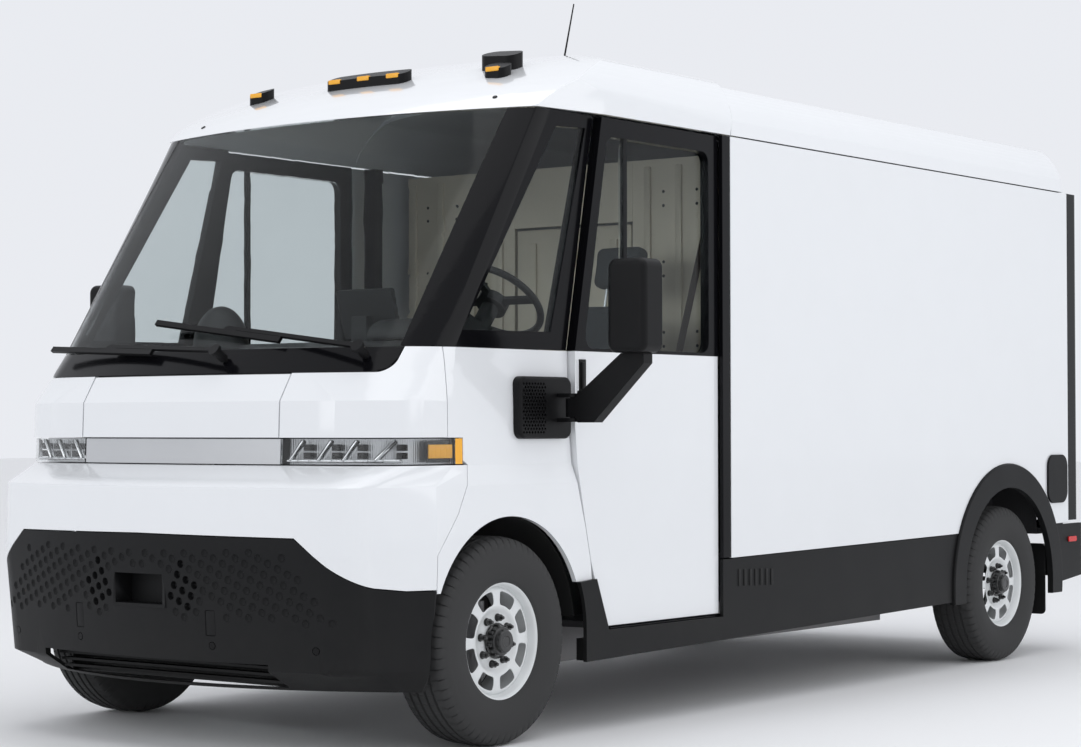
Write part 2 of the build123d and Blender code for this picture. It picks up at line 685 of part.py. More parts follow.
def cab_crown(inset, plan_inset):
    """Whole space under the cab roof's surface, brought in by inset and in plan by plan_inset."""
    with BuildPart() as plan_block:
        extrude(outline(roof_plan, plan_inset, back_y=front_axle_y + 1900), amount=600)
    section = roof_block(cab_roof_rise, inset, front_axle_y, front_axle_y + 1900)
    return common(section, brow(inset), plan_block.part)


with BuildPart() as cab_roof:
    add(cab_crown(0, 0))
    add(cab_crown(roof_wall, roof_wall), mode=Mode.SUBTRACT)
    add(seam_side(0, 1), mode=Mode.INTERSECT)
cab_roof.part.label = "cab_roof"
export_step(cab_roof.part, "parts/cab_roof.step")

roof_rear_radius = 90.0
with BuildPart() as roof_rear_round:
    with BuildSketch(Plane.YZ.offset(-half_width)):
        with BuildLine():
            top_z, arc_y = header_z + roof_rise, roof_rear_y - roof_rear_radius
            Polyline((arc_y, top_z), (arc_y, top_z + 50), (roof_rear_y + 50, top_z + 50),
                     (roof_rear_y + 50, top_z - roof_rear_radius), (roof_rear_y, top_z - roof_rear_radius))
            RadiusArc((roof_rear_y, top_z - roof_rear_radius), (arc_y, top_z), -roof_rear_radius)
        make_face()
    extrude(amount=2 * half_width)
with BuildPart() as cargo_roof:
    add(roof_block(roof_rise, 2, cargo_front_y, roof_rear_y))
    add(roof_block(roof_rise, 2 + roof_wall, cargo_front_y, roof_rear_y - 3 * roof_wall), mode=Mode.SUBTRACT)
    add(roof_rear_round.part, mode=Mode.SUBTRACT)
    add(seam_side(panel_gap, -1), mode=Mode.INTERSECT)
cargo_roof.part.label = "cargo_roof"
export_step(cargo_roof.part, "parts/cargo_roof.step")

marker_reach, marker_height = half_width - 405, 30.0
fin_spot, fin_height = (half_width - 470, front_axle_y + 560), 46.0
whip_base = (half_width - 620, front_axle_y + 1161)


def roof_pod(spot, length, depth, height):
    """Housing on the cab roof that follows its curve, at one place in plan."""
    with BuildPart() as pod:
        with BuildSketch(Plane.XY.offset(header_z)):
            with Locations(spot):
                RectangleRounded(length, depth, depth / 2 - 4)
        extrude(amount=500)
    section = roof_block(cab_roof_rise, -height, front_axle_y, front_axle_y + 1900)
    return common(pod.part, section, brow(-height))


cab_roof_skin = common(roof_block(cab_roof_rise, -fit_gap, front_axle_y, front_axle_y + 1900), brow(-fit_gap))
with BuildPart() as roof_fittings:
    add(roof_pod((0, front_axle_y + 412), 410, 74, marker_height))
    for side_sign in (1, -1):
        add(roof_pod((side_sign * marker_reach, front_axle_y + 450), 104, 74, marker_height))
    add(roof_pod(fin_spot, 170, 96, fin_height))
    with BuildSketch(Plane.XY.offset(header_z + cab_roof_rise - 30)):
        with Locations(whip_base):
            Circle(20)
    extrude(amount=44, taper=12)
    whip = Plane(origin=(*whip_base, header_z + cab_roof_rise + 5), z_dir=(0, 0.29, 1))
    with BuildSketch(whip):
        Circle(4)
    extrude(amount=246, taper=0.3)
    add(cab_roof_skin, mode=Mode.SUBTRACT)
roof_fittings.part.label = "roof_fittings"
export_step(roof_fittings.part, "parts/roof_fittings.step")

with BuildPart() as amber_lenses:
    add(shell_band([lamp_low, lamp_high], 5))
    add(turn_zone_left + mirror(turn_zone_left, about=Plane.YZ, mode=Mode.PRIVATE), mode=Mode.INTERSECT)
amber_lenses.part.label = "amber_lenses"
export_step(amber_lenses.part, "parts/amber_lenses.step")

# ---- doors --------------------------------------------------------------------------
window_low_z, window_high_z = belt_z + 12, header_z - 78
window_outline = [(475, window_low_z), (628, window_high_z), (1318, window_high_z), (1318, window_low_z)]
window_split = 735
door_panel = [(y + 1, z) for y, z in door_lead] + [(door_rear, belt_z), (door_rear, 385)]
door_frame_line = [(door_front + 1, belt_z + 1), (door_top_front, header_z - 8), (door_rear, header_z - 8),
                   (door_rear, belt_z + 1)]


def rounded_window(x_start, depth, outline_points, radius, shrink=0.0):
    """Window shape in the side of a door, drawn out across the truck."""
    with BuildPart() as shape:
        with BuildSketch(Plane.YZ.offset(x_start)):
            with BuildLine() as edge:
                FilletPolyline([(front_axle_y + y, z) for y, z in outline_points], radius=radius, close=True)
            make_face()
            if shrink > 0:
                offset(amount=-shrink, mode=Mode.REPLACE)
        extrude(amount=depth)
    return shape.part


with BuildPart() as door_left:
    add(side_prism(door_panel, door_inner_x, door_outer_x))
    fillet(door_left.edges().filter_by(Axis.Z).sort_by(Axis.X)[-1:], 4)
    # shallow pull recess at the lead edge
    add(block(door_inner_x, door_outer_x - 14, front_axle_y + 560, cab_back_y - 60, 470, belt_z - 120),
        mode=Mode.SUBTRACT)
    # lead edge handle
    handle_y = front_axle_y + door_front + 26
    add(block(door_outer_x, door_outer_x + 3, handle_y - 14, handle_y + 14, 1232, 1380))
door_left.part.label = "door_left"
export_step(door_left.part, "parts/door_left.step")
with BuildPart() as door_right:
    mirror(door_left.part, about=Plane.YZ)
door_right.part.label = "door_right"
export_step(door_right.part, "parts/door_right.step")

with BuildPart() as door_window_left:
    add(side_prism(door_frame_line, door_inner_x, door_outer_x))
    add(rounded_window(door_inner_x - 1, door_thickness + 2, window_outline, 45), mode=Mode.SUBTRACT)
    # fixed pane, and the post that its rear edge stands in
    add(rounded_window(door_outer_x - 14, glass_wall, window_outline, 45, fit_gap)
        - block(0, 2000, front_axle_y + window_split, 4000, 0, 4000))
    add(block(door_outer_x - 20, door_outer_x - 4,
              front_axle_y + window_split + 1, front_axle_y + window_split + 25,
              window_low_z + fit_gap, window_high_z - fit_gap))
door_window_left.part.label = "door_window_left"
export_step(door_window_left.part, "parts/door_window_left.step")
with BuildPart() as door_window_right:
    mirror(door_window_left.part, about=Plane.YZ)
door_window_right.part.label = "door_window_right"
export_step(door_window_right.part, "parts/door_window_right.step")

slider_outline = [(window_split + 5, window_low_z + 1), (window_split + 5, window_high_z - 1),
                  (1316, window_high_z - 1), (1316, window_low_z + 1)]
with BuildPart() as window_slider_left:
    add(rounded_window(door_outer_x - 31, glass_wall, slider_outline, 44))
window_slider_left.part.label = "window_slider_left"
export_step(window_slider_left.part, "parts/window_slider_left.step")
with BuildPart() as window_slider_right:
    mirror(window_slider_left.part, about=Plane.YZ)
window_slider_right.part.label = "window_slider_right"
export_step(window_slider_right.part, "parts/window_slider_right.step")

# ---- cargo body ---------------------------------------------------------------------
skin_inner_x = half_width - skin_wall
sill_front_z = 604.0
cargo_rear = cargo_rear_y - front_axle_y
flap_y = rear_axle_y + flap_behind_axle
with BuildPart() as cargo_sides:
    add(side_prism([(cargo_front, lower_line(cargo_front, sill_front_z - 14)), (cargo_front, header_z - 4),
                    (cargo_rear, header_z - 4), (cargo_rear, lower_line(cargo_rear, sill_front_z - 14))],
                   skin_inner_x, half_width))
    add(flare_well, mode=Mode.SUBTRACT)
    mirror(about=Plane.YZ)
    # opening for the charge inlet, on the driver's side only
    with BuildSketch(Plane.YZ.offset(skin_inner_x - 1)):
        with Locations((flap_y, flap_z)):
            RectangleRounded(flap_width - 44, flap_height - 44, 30)
    extrude(amount=skin_wall + 2, mode=Mode.SUBTRACT)
cargo_sides.part.label = "cargo_sides"
export_step(cargo_sides.part, "parts/cargo_sides.step")

with BuildPart() as charge_flap:
    with BuildSketch(Plane.YZ.offset(half_width + 1.5)):
        with Locations((flap_y, flap_z)):
            RectangleRounded(flap_width, flap_height, 60)
    extrude(amount=9)
    fillet(charge_flap.faces().sort_by(Axis.X)[-1].edges(), 4)
charge_flap.part.label = "charge_flap"
export_step(charge_flap.part, "parts/charge_flap.step")

jamb_low_y, jamb_high_y = door_rear + 3, cargo_front - 3
with BuildPart() as door_jambs:
    jamb_low_z = lower_line(cargo_front, sill_front_z - 12)
    add(side_prism([(jamb_low_y, jamb_low_z), (jamb_low_y, header_z - 4), (jamb_high_y, header_z - 4),
                    (jamb_high_y, jamb_low_z)],
                   skin_inner_x, half_width - 1))
    add(side_prism([(cargo_front + 10, floor_top_z + 1), (cargo_front + 10, header_z - 12),
                    (cargo_front + 60, header_z - 12), (cargo_front + 60, floor_top_z + 1)],
                   floor_x - 60, floor_x + 6))
    # guide rail under the door and its pocket
    add(side_prism([(640, 352), (640, 378), (door_rear + door_travel + 40, 378),
                    (door_rear + door_travel + 40, 352)],
                   door_inner_x, door_outer_x))
    mirror(about=Plane.YZ)
door_jambs.part.label = "door_jambs"
export_step(door_jambs.part, "parts/door_jambs.step")

sill_depth = 60.0
with BuildPart() as sill_covers:
    rear_end = wheel_base - 520
    add(side_prism([(390, lower_line(400, sill_at_front)),
                    (rear_end, lower_line(rear_end, sill_at_front + 14)),
                    (rear_end, lower_line(rear_end, sill_front_z - 18)),
                    (cargo_front - 60, lower_line(cargo_front, sill_front_z - 18)),
                    (cargo_front - 60, 388), (door_rear + 2, 386), (door_rear + 2, 372),
                    (606, 372), (528, 566), (390, 556)],
                   skin_inner_x, half_width - 2))
    add(side_prism([(500, lower_line(500, sill_at_front)),
                    (rear_end, lower_line(rear_end, sill_at_front + 14)),
                    (rear_end, 345), (500, 345)], skin_inner_x - sill_depth, skin_inner_x))
    add(front_well, mode=Mode.SUBTRACT)
    add(flare_well, mode=Mode.SUBTRACT)
    mirror(about=Plane.YZ)
sill_covers.part.label = "sill_covers"
export_step(sill_covers.part, "parts/sill_covers.step")

flare_proud = 12.0
flare_bottom_z = 300.0
with BuildPart() as rear_arch_flares:
    with BuildSketch(Plane.YZ.offset(skin_inner_x)):
        with Locations((rear_axle_y, axle_z)):
            Circle(flare_radius - 1)
        with Locations((rear_axle_y, flare_bottom_z / 2 - 200)):
            Rectangle(3000, flare_bottom_z + 400, mode=Mode.SUBTRACT)
    extrude(amount=skin_wall + flare_proud)
    fillet(rear_arch_flares.faces().sort_by(Axis.X)[-1].edges(), 8)
    add(rear_well, mode=Mode.SUBTRACT)
    # panel between the rear wheel and the rear corner
    quarter_low = wheel_base + rear_arch_radius + 40
    add(side_prism([(quarter_low, 345), (quarter_low, lower_line(quarter_low, sill_front_z - 20)),
                    (cargo_rear + 148, lower_line(cargo_rear, sill_front_z - 20)), (cargo_rear + 148, 375)],
                   skin_inner_x, half_width + 2)
        - wheel_well(rear_axle_y, axle_z, flare_radius, 0, 3000))
    # mud flap behind the wheel
    with BuildSketch(Plane.XZ.offset(12 - rear_axle_y - rear_arch_radius)):
        with Locations((wheel_x - 6, 370)):
            RectangleRounded(tyre_width, 350, 24)
    extrude(amount=-7)
    mirror(about=Plane.YZ)
rear_arch_flares.part.label = "rear_arch_flares"
export_step(rear_arch_flares.part, "parts/rear_arch_flares.step")

# ---- rear end -----------------------------------------------------------------------
post_x, portal_top_z, portal_low_z = half_width - 88, header_z - 90, 655.0
post_front_y, post_rear_y = cargo_rear_y + 3, rear_face_y - 28
hinge_x, hinge_y = half_width - 76, rear_face_y + 10
with BuildPart() as rear_portal:
    for side_sign in (1, -1):
        low_x, high_x = sorted((side_sign * post_x, side_sign * half_width))
        add(block(low_x, high_x, post_front_y, post_rear_y, portal_low_z, header_z - 2))
    rear_edges = rear_portal.edges().filter_by(Axis.Z).group_by(Axis.Y)[-1]
    outer_edges = rear_edges.sort_by(lambda edge: -abs(edge.center().X))
    fillet(outer_edges[:2], 40)
    add(block(fit_gap - post_x, post_x - fit_gap, post_front_y, post_rear_y, portal_top_z, header_z - 2))
    add(block(fit_gap - post_x, post_x - fit_gap, post_front_y, post_rear_y, 590, portal_low_z - 2))
    # hinge pins of the two doors
    for side_sign in (1, -1):
        for pin_z in (900, 1450, 2000):
            with BuildSketch(Plane.XY.offset(pin_z - 40)):
                with Locations((side_sign * hinge_x, hinge_y)):
                    Circle(7)
            extrude(amount=80)
            low_x, high_x = sorted((side_sign * (hinge_x - 7), side_sign * (hinge_x + 7)))
            for leaf_z in (pin_z - 52, pin_z + 40):
                add(block(low_x, high_x, post_rear_y, hinge_y + 7, leaf_z, leaf_z + 12))
rear_portal.part.label = "rear_portal"
export_step(rear_portal.part, "parts/rear_portal.step")

door_leaf_x = post_x - 6
with BuildPart() as rear_door_left:
    add(block(5, door_leaf_x, rear_face_y - rear_door_thickness, rear_face_y,
              portal_low_z + 6, portal_top_z - 6))
    fillet(rear_door_left.edges().filter_by(Axis.Z).group_by(Axis.Y)[-1], 8)
    # hinge eyes, and the rear window
    for pin_z in (900, 1450, 2000):
        with BuildSketch(Plane.XY.offset(pin_z - 38)):
            with Locations((hinge_x, hinge_y)):
                Circle(13)
            with Locations(((hinge_x + door_leaf_x - 90) / 2, hinge_y)):
                Rectangle(hinge_x - door_leaf_x + 90, 10)
            with Locations((hinge_x, hinge_y)):
                Circle(7 + pin_clearance, mode=Mode.SUBTRACT)
        extrude(amount=76)
        add(block(door_leaf_x - 90, door_leaf_x - 20, rear_face_y - 1, hinge_y + 4, pin_z - 38, pin_z + 38))
rear_door_left.part.label = "rear_door_left"
export_step(rear_door_left.part, "parts/rear_door_left.step")
with BuildPart() as rear_door_right:
    mirror(rear_door_left.part, about=Plane.YZ)
    # bar handle of the leaf that opens first
    add(block(-80, -56, rear_face_y + 30, rear_face_y + 44, 1130, 1400))
    for foot_z in (1140, 1370):
        add(block(-80, -56, rear_face_y - 1, rear_face_y + 30, foot_z, foot_z + 20))
rear_door_right.part.label = "rear_door_right"
export_step(rear_door_right.part, "parts/rear_door_right.step")

with BuildPart() as rear_bumper:
    with BuildSketch(Plane.XY.offset(372)):
        with Locations((0, half_length - bumper_depth / 2)):
            RectangleRounded(body_width - 60, bumper_depth, 60)
    extrude(amount=150)
    fillet(rear_bumper.edges().group_by(Axis.Z)[-1], 12)
rear_bumper.part.label = "rear_bumper"
export_step(rear_bumper.part, "parts/rear_bumper.step")

with BuildPart() as rear_lamps:
    for lamp_z, lamp_height in ((1250, 380), (1560, 120)):
        with BuildSketch(Plane.XZ.offset(-post_rear_y - fit_gap)):
            with Locations((half_width - 46, lamp_z)):
                RectangleRounded(24, lamp_height, 10)
        extrude(amount=-14)
    # side marker on the panel behind the wheel
    with BuildSketch(Plane.YZ.offset(half_width + 2 + fit_gap)):
        with Locations((cargo_rear_y + 30, 560)):
            RectangleRounded(90, 26, 8)
    extrude(amount=8)
    mirror(about=Plane.YZ)
rear_lamps.part.label = "rear_lamps"
export_step(rear_lamps.part, "parts/rear_lamps.step")

# ---- mirrors ------------------------------------------------------------------------
mirror_y = front_axle_y + 330
mirror_fold_x, mirror_fold_z = half_width + 34, 1200.0
mirror_head_width, mirror_head_depth, mirror_head_height = 168.0, 112.0, 336.0
mirror_head_x = half_width + 326
mirror_head_y, mirror_head_z = front_axle_y + 300, 1562.0
mirror_pin_radius, mirror_glass_thickness, mirror_rim = 11.0, 5.0, 12.0

with BuildPart() as mirror_bases:
    with BuildSketch(Plane.YZ.offset(half_width - 60)):
        with Locations((front_axle_y + 240, mirror_fold_z)):
            RectangleRounded(312, 226, 34)
    extrude(amount=42)
    fillet(mirror_bases.faces().sort_by(Axis.X)[-1].edges(), 12)
    add(fenders.part, mode=Mode.SUBTRACT)
    add(door_left.part, mode=Mode.SUBTRACT)
    # clevis ears with the fold pin
    for ear_z in (mirror_fold_z - 52, mirror_fold_z + 38):
        with BuildSketch(Plane.XY.offset(ear_z)):
            with Locations((mirror_fold_x - 30, mirror_y)):
                Rectangle(60, 56)
            with Locations((mirror_fold_x, mirror_y)):
                Circle(28)
        extrude(amount=14)
    with BuildSketch(Plane.XY.offset(mirror_fold_z - 45)):
        with Locations((mirror_fold_x, mirror_y)):
            Circle(mirror_pin_radius)
    extrude(amount=90)
    mirror(about=Plane.YZ)
mirror_bases.part.label = "mirror_bases"
export_step(mirror_bases.part, "parts/mirror_bases.step")

beam_x, beam_low_z, beam_top_z = half_width + 92, mirror_fold_z - 54, mirror_fold_z + 62
elbow_x, riser_top_z = half_width + 146, mirror_head_z - mirror_head_height / 2
with BuildPart() as mirror_arm_left:
    # eye, beam and riser
    with BuildSketch(Plane.XZ.offset(-mirror_y + 27)):
        with BuildLine():
            Polyline((mirror_fold_x, mirror_fold_z + 34), (mirror_fold_x + 32, mirror_fold_z + 34),
                     (mirror_fold_x + 40, beam_top_z), (beam_x, beam_top_z),
                     (mirror_head_x - 60, riser_top_z), (mirror_head_x + 40, riser_top_z),
                     (mirror_head_x + 40, riser_top_z - 37), (elbow_x, beam_low_z),
                     (mirror_fold_x + 40, beam_low_z), (mirror_fold_x + 32, mirror_fold_z - 34),
                     (mirror_fold_x, mirror_fold_z - 34), close=True)
        make_face()
    extrude(amount=-54)
    fillet(mirror_arm_left.edges().filter_by(Axis.Y), 3)
    with BuildSketch(Plane.XY.offset(mirror_fold_z - 34)):
        with Locations((mirror_fold_x, mirror_y)):
            Circle(27)
    extrude(amount=68)
    with BuildSketch(Plane.XY.offset(mirror_fold_z - 200)):
        with Locations((mirror_fold_x, mirror_y)):
            Circle(mirror_pin_radius + pin_clearance)
    extrude(amount=400, mode=Mode.SUBTRACT)
    # head, hollow towards the rear
    with BuildSketch(Plane.XZ.offset(-mirror_head_y + mirror_head_depth / 2)):
        with Locations((mirror_head_x, mirror_head_z)):
            RectangleRounded(mirror_head_width, mirror_head_height, 34)
    extrude(amount=-mirror_head_depth)
    fillet(mirror_arm_left.faces().sort_by(Axis.Y)[0].edges(), 24)
    with BuildSketch(Plane.XZ.offset(-mirror_head_y - mirror_head_depth / 2)):
        with Locations((mirror_head_x, mirror_head_z)):
            RectangleRounded(mirror_head_width - 2 * mirror_rim, mirror_head_height - 2 * mirror_rim, 24)
    extrude(amount=44, mode=Mode.SUBTRACT)
    # post that the glass tilts on
    with BuildSketch(Plane.XZ.offset(-mirror_head_y - mirror_head_depth / 2 + 46)):
        with Locations((mirror_head_x, mirror_head_z)):
            Circle(20)
    extrude(amount=-18)
mirror_arm_left.part.label = "mirror_arm_left"
export_step(mirror_arm_left.part, "parts/mirror_arm_left.step")
with BuildPart() as mirror_arm_right:
    mirror(mirror_arm_left.part, about=Plane.YZ)
mirror_arm_right.part.label = "mirror_arm_right"
export_step(mirror_arm_right.part, "parts/mirror_arm_right.step")

mirror_glass_y = mirror_head_y + mirror_head_depth / 2 - 18
with BuildPart() as mirror_glass_left:
    with BuildSketch(Plane.XZ.offset(-mirror_glass_y)):
        with Locations((mirror_head_x, mirror_head_z)):
            RectangleRounded(mirror_head_width - 2 * mirror_rim - 8,
                             mirror_head_height - 2 * mirror_rim - 8, 20)
    extrude(amount=-mirror_glass_thickness)
mirror_glass_left.part.label = "mirror_glass_left"
export_step(mirror_glass_left.part, "parts/mirror_glass_left.step")
with BuildPart() as mirror_glass_right:
    mirror(mirror_glass_left.part, about=Plane.YZ)
mirror_glass_right.part.label = "mirror_glass_right"
export_step(mirror_glass_right.part, "parts/mirror_glass_right.step")

# ---- dashboard, steering, pedals and seat -------------------------------------------
wheel_tilt = 40.0
steering_centre = Vector(half_width - 570, front_axle_y + 630, 1620)
steering_radius, steering_grip = 198.0, 14.0
column_axis = Vector(0, sin(radians(wheel_tilt)), cos(radians(wheel_tilt)))
column_radius, column_length, hub_depth = 36.0, 330.0, 34.0
column_end = steering_centre - column_axis * (hub_depth + 2)
column_plane = Plane(origin=column_end, x_dir=(1, 0, 0), z_dir=-column_axis)
wheel_plane = Plane(origin=steering_centre, x_dir=(1, 0, 0), z_dir=column_axis)

with BuildPart() as column_bore:
    with BuildSketch(column_plane):
        Circle(column_radius + 2)
    extrude(amount=column_length + 60)
with BuildPart() as dashboard:
    add(side_prism([(-290, 1340), (-300, 1392), (60, 1448), (250, 1462), (330, 1430), (368, 1330),
                    (360, 1120), (300, 1010), (60, 990), (-260, 1180)], 130 - half_width, half_width - 130))
    fillet(dashboard.edges().filter_by(Axis.X).group_by(Axis.Z)[-1], 20)
    # hood over the instruments, and the screen beside it
    with BuildSketch(Plane.YZ.offset(steering_centre.X - 190)):
        with Locations((front_axle_y + 230, 1470)):
            Ellipse(130, 70)
        with Locations((front_axle_y + 230, 1380)):
            Rectangle(400, 160, mode=Mode.SUBTRACT)
    extrude(amount=380)
    screen = Plane(origin=(60, front_axle_y + 330, 1570), x_dir=(1, 0, 0), z_dir=(0, 1, 0.25))
    with BuildSketch(screen):
        RectangleRounded(280, 190, 12)
    extrude(amount=22)
    add(block(20, 100, front_axle_y + 280, front_axle_y + 318, 1440, 1560))
    add(column_bore.part, mode=Mode.SUBTRACT)
    with BuildSketch(column_plane):
        Circle(column_radius)
    extrude(amount=column_length)
    with BuildSketch(column_plane):
        Circle(pin_radius)
    extrude(amount=-hub_depth + 4)
dashboard.part.label = "dashboard"
export_step(dashboard.part, "parts/dashboard.step")

with BuildPart() as steering_wheel:
    rim_normal = -column_axis.cross(Vector(1, 0, 0))
    with BuildSketch(Plane(origin=steering_centre, x_dir=(1, 0, 0), z_dir=rim_normal)):
        with Locations((steering_radius, 0)):
            Circle(steering_grip)
    revolve(axis=Axis(steering_centre, column_axis), revolution_arc=360)
    with BuildSketch(wheel_plane.offset(-hub_depth)):
        Circle(62)
    extrude(amount=hub_depth + 6)
    with BuildSketch(wheel_plane.offset(-8)):
        for spoke_angle in (0, 180, 270):
            with Locations(Rotation(0, 0, spoke_angle)):
                with Locations((steering_radius / 2 + 20, 0)):
                    Rectangle(steering_radius - 40, 34)
    extrude(amount=14)
    with BuildSketch(wheel_plane.offset(-hub_depth - 1)):
        Circle(pin_radius + pin_clearance)
    extrude(amount=hub_depth - 2, mode=Mode.SUBTRACT)
steering_wheel.part.label = "steering_wheel"
export_step(steering_wheel.part, "parts/steering_wheel.step")


def pedal(centre_x, pad_width, pad_height):
    """Pedal that hangs from the pedal pin."""
    with BuildPart() as piece:
        with BuildSketch(Plane.YZ.offset(centre_x - pedal_hub_width / 2)):
            with Locations((pedal_pivot_y, pedal_pivot_z)):
                Circle(pedal_pin_radius + 9)
            with BuildLine():
                Polyline((pedal_pivot_y - 8, pedal_pivot_z), (pedal_pivot_y + 20, pedal_pivot_z - 240),
                         (pedal_pivot_y + 36, pedal_pivot_z - 240), (pedal_pivot_y + 10, pedal_pivot_z),
                         close=True)
            make_face()
            with Locations((pedal_pivot_y, pedal_pivot_z)):
                Circle(pedal_pin_radius + pin_clearance, mode=Mode.SUBTRACT)
        extrude(amount=pedal_hub_width)
        pad = Plane(origin=(centre_x, pedal_pivot_y + 30, pedal_pivot_z - 240), x_dir=(1, 0, 0),
                    z_dir=(0, 1, 0.45))
        with BuildSketch(pad):
            RectangleRounded(pad_width, pad_height, 10)
        extrude(amount=14)
    return piece.part


with BuildPart() as brake_pedal:
    add(pedal(brake_x, 92, 58))
brake_pedal.part.label = "brake_pedal"
export_step(brake_pedal.part, "parts/brake_pedal.step")
with BuildPart() as accelerator_pedal:
    add(pedal(accelerator_x, 50, 120))
accelerator_pedal.part.label = "accelerator_pedal"
export_step(accelerator_pedal.part, "parts/accelerator_pedal.step")

cushion_width, cushion_depth, cushion_thickness = 470.0, 460.0, 110.0
recline_y, recline_z = seat_y + 190, 1020.0
with BuildPart() as seat_base:
    add(block(seat_x - 190, seat_x + 190, seat_y - 200, seat_y + 180,
              pedestal_top_z + 1, pedestal_top_z + 30))
    with BuildSketch(Plane.XY.offset(pedestal_top_z + 31)):
        with Locations((seat_x, seat_y + 148 - cushion_depth / 2)):
            RectangleRounded(cushion_width, cushion_depth, 50)
    extrude(amount=cushion_thickness)
    fillet(seat_base.edges().group_by(Axis.Z)[-1], 30)
    for side_sign in (1, -1):
        low_x, high_x = sorted((seat_x + side_sign * 192, seat_x + side_sign * 206))
        add(block(low_x, high_x, seat_y + 60, recline_y + 22, pedestal_top_z + 2, recline_z + 22))
    with BuildSketch(Plane.YZ.offset(seat_x - 200)):
        with Locations((recline_y, recline_z)):
            Circle(pin_radius)
    extrude(amount=400)
seat_base.part.label = "seat_base"
export_step(seat_base.part, "parts/seat_base.step")

back_plane = Plane(origin=(seat_x, recline_y + 26, recline_z + 10), x_dir=(1, 0, 0), z_dir=(0, 0.2, 1))
with BuildPart() as seat_back:
    with BuildSketch(back_plane.offset(30)):
        RectangleRounded(450, 110, 40)
    extrude(amount=600)
    fillet(seat_back.edges().group_by(Axis.Z)[-1], 30)
    # hinge ears on the recline pin
    for side_sign in (1, -1):
        with BuildSketch(Plane.YZ.offset(seat_x + side_sign * 182 - 7)):
            with Locations((recline_y, recline_z)):
                Circle(pin_radius + 9)
            with Locations((recline_y + 22, recline_z + 60)):
                Rectangle(40, 120)
            with Locations((recline_y, recline_z)):
                Circle(pin_radius + pin_clearance, mode=Mode.SUBTRACT)
        extrude(amount=14)
    for rod_x in (-60, 60):
        with BuildSketch(back_plane.offset(620)):
            with Locations((rod_x, 0)):
                Circle(7)
        extrude(amount=90)
    with BuildSketch(back_plane.offset(680)):
        RectangleRounded(250, 100, 30)
    extrude(amount=190)
    fillet(seat_back.edges().group_by(Axis.Z)[-1], 24)
seat_back.part.label = "seat_back"
export_step(seat_back.part, "parts/seat_back.step")

# ---- front knuckles, wheels and liners ----------------------------------------------
with BuildPart() as knuckle_left:
    with BuildSketch(Plane.XY.offset(axle_z - arm_reach + arm_thickness / 2 + 1)):
        with Locations((kingpin_x, front_axle_y)):
            Circle(34)
    extrude(amount=2 * arm_reach - arm_thickness - 2)
    with BuildSketch(Plane.XY.offset(axle_z - arm_reach - arm_thickness / 2)):
        with Locations((kingpin_x, front_axle_y)):
            Circle(pin_radius)
    extrude(amount=2 * arm_reach + arm_thickness)
    with BuildSketch(Plane.YZ.offset(kingpin_x)):
        with Locations((front_axle_y, axle_z)):
            Circle(stub_radius)
    extrude(amount=wheel_x + 60 - kingpin_x)
knuckle_left.part.label = "knuckle_left"
export_step(knuckle_left.part, "parts/knuckle_left.step")
with BuildPart() as knuckle_right:
    mirror(knuckle_left.part, about=Plane.YZ)
knuckle_right.part.label = "knuckle_right"
export_step(knuckle_right.part, "parts/knuckle_right.step")

disc_in, disc_out = 66.0, 78.0  # wheel disc, outwards from the middle of the tyre
hub_radius, hub_out = 62.0, 96.0
lug_circle, lug_count, lug_radius = 85.0, 6, 9.5
hand_holes, hole_circle = 8, 158.0


def road_wheel(axle_y):
    """Steel wheel with its hub on the +X side: barrel, disc with hand holes, bored hub."""
    with BuildPart() as rim:
        with BuildSketch(Plane.XY.offset(axle_z)):
            with BuildLine():
                half = rim_width / 2
                Polyline(
                    (wheel_x - half - flange_width, axle_y + flange_radius),
                    (wheel_x - half, axle_y + flange_radius),
                    (wheel_x - half, axle_y + bead_radius - 1),
                    (wheel_x + half, axle_y + bead_radius - 1),
                    (wheel_x + half, axle_y + flange_radius),
                    (wheel_x + half + flange_width, axle_y + flange_radius),
                    (wheel_x + half + flange_width, axle_y + bead_radius - 7),
                    (wheel_x + disc_out, axle_y + bead_radius - 10),
                    (wheel_x + disc_out, axle_y + hub_radius),
                    (wheel_x + hub_out, axle_y + hub_radius),
                    (wheel_x + hub_out, axle_y + 4),
                    (wheel_x + 64, axle_y + 4),
                    (wheel_x + 64, axle_y + stub_radius + pin_clearance),
                    (wheel_x + 6, axle_y + stub_radius + pin_clearance),
                    (wheel_x + 6, axle_y + hub_radius - 6),
                    (wheel_x + disc_in, axle_y + hub_radius + 4),
                    (wheel_x + disc_in, axle_y + bead_radius - 10),
                    (wheel_x - half - flange_width, axle_y + bead_radius - 7),
                    close=True,
                )
            make_face()
        revolve(axis=Axis((0, axle_y, axle_z), (1, 0, 0)), revolution_arc=360)
        face = Plane(origin=(wheel_x + disc_in - 2, axle_y, axle_z), x_dir=(0, 1, 0), z_dir=(1, 0, 0))
        with BuildSketch(face):
            with PolarLocations(hole_circle, hand_holes, start_angle=180 / hand_holes):
                Trapezoid(62, 48, 82, rotation=90)
        extrude(amount=disc_out - disc_in + 4, mode=Mode.SUBTRACT)
        with BuildSketch(face.offset(disc_out - disc_in + 1)):
            with PolarLocations(lug_circle, lug_count):
                RegularPolygon(lug_radius + 2, 6)
        extrude(amount=22)
    return rim.part


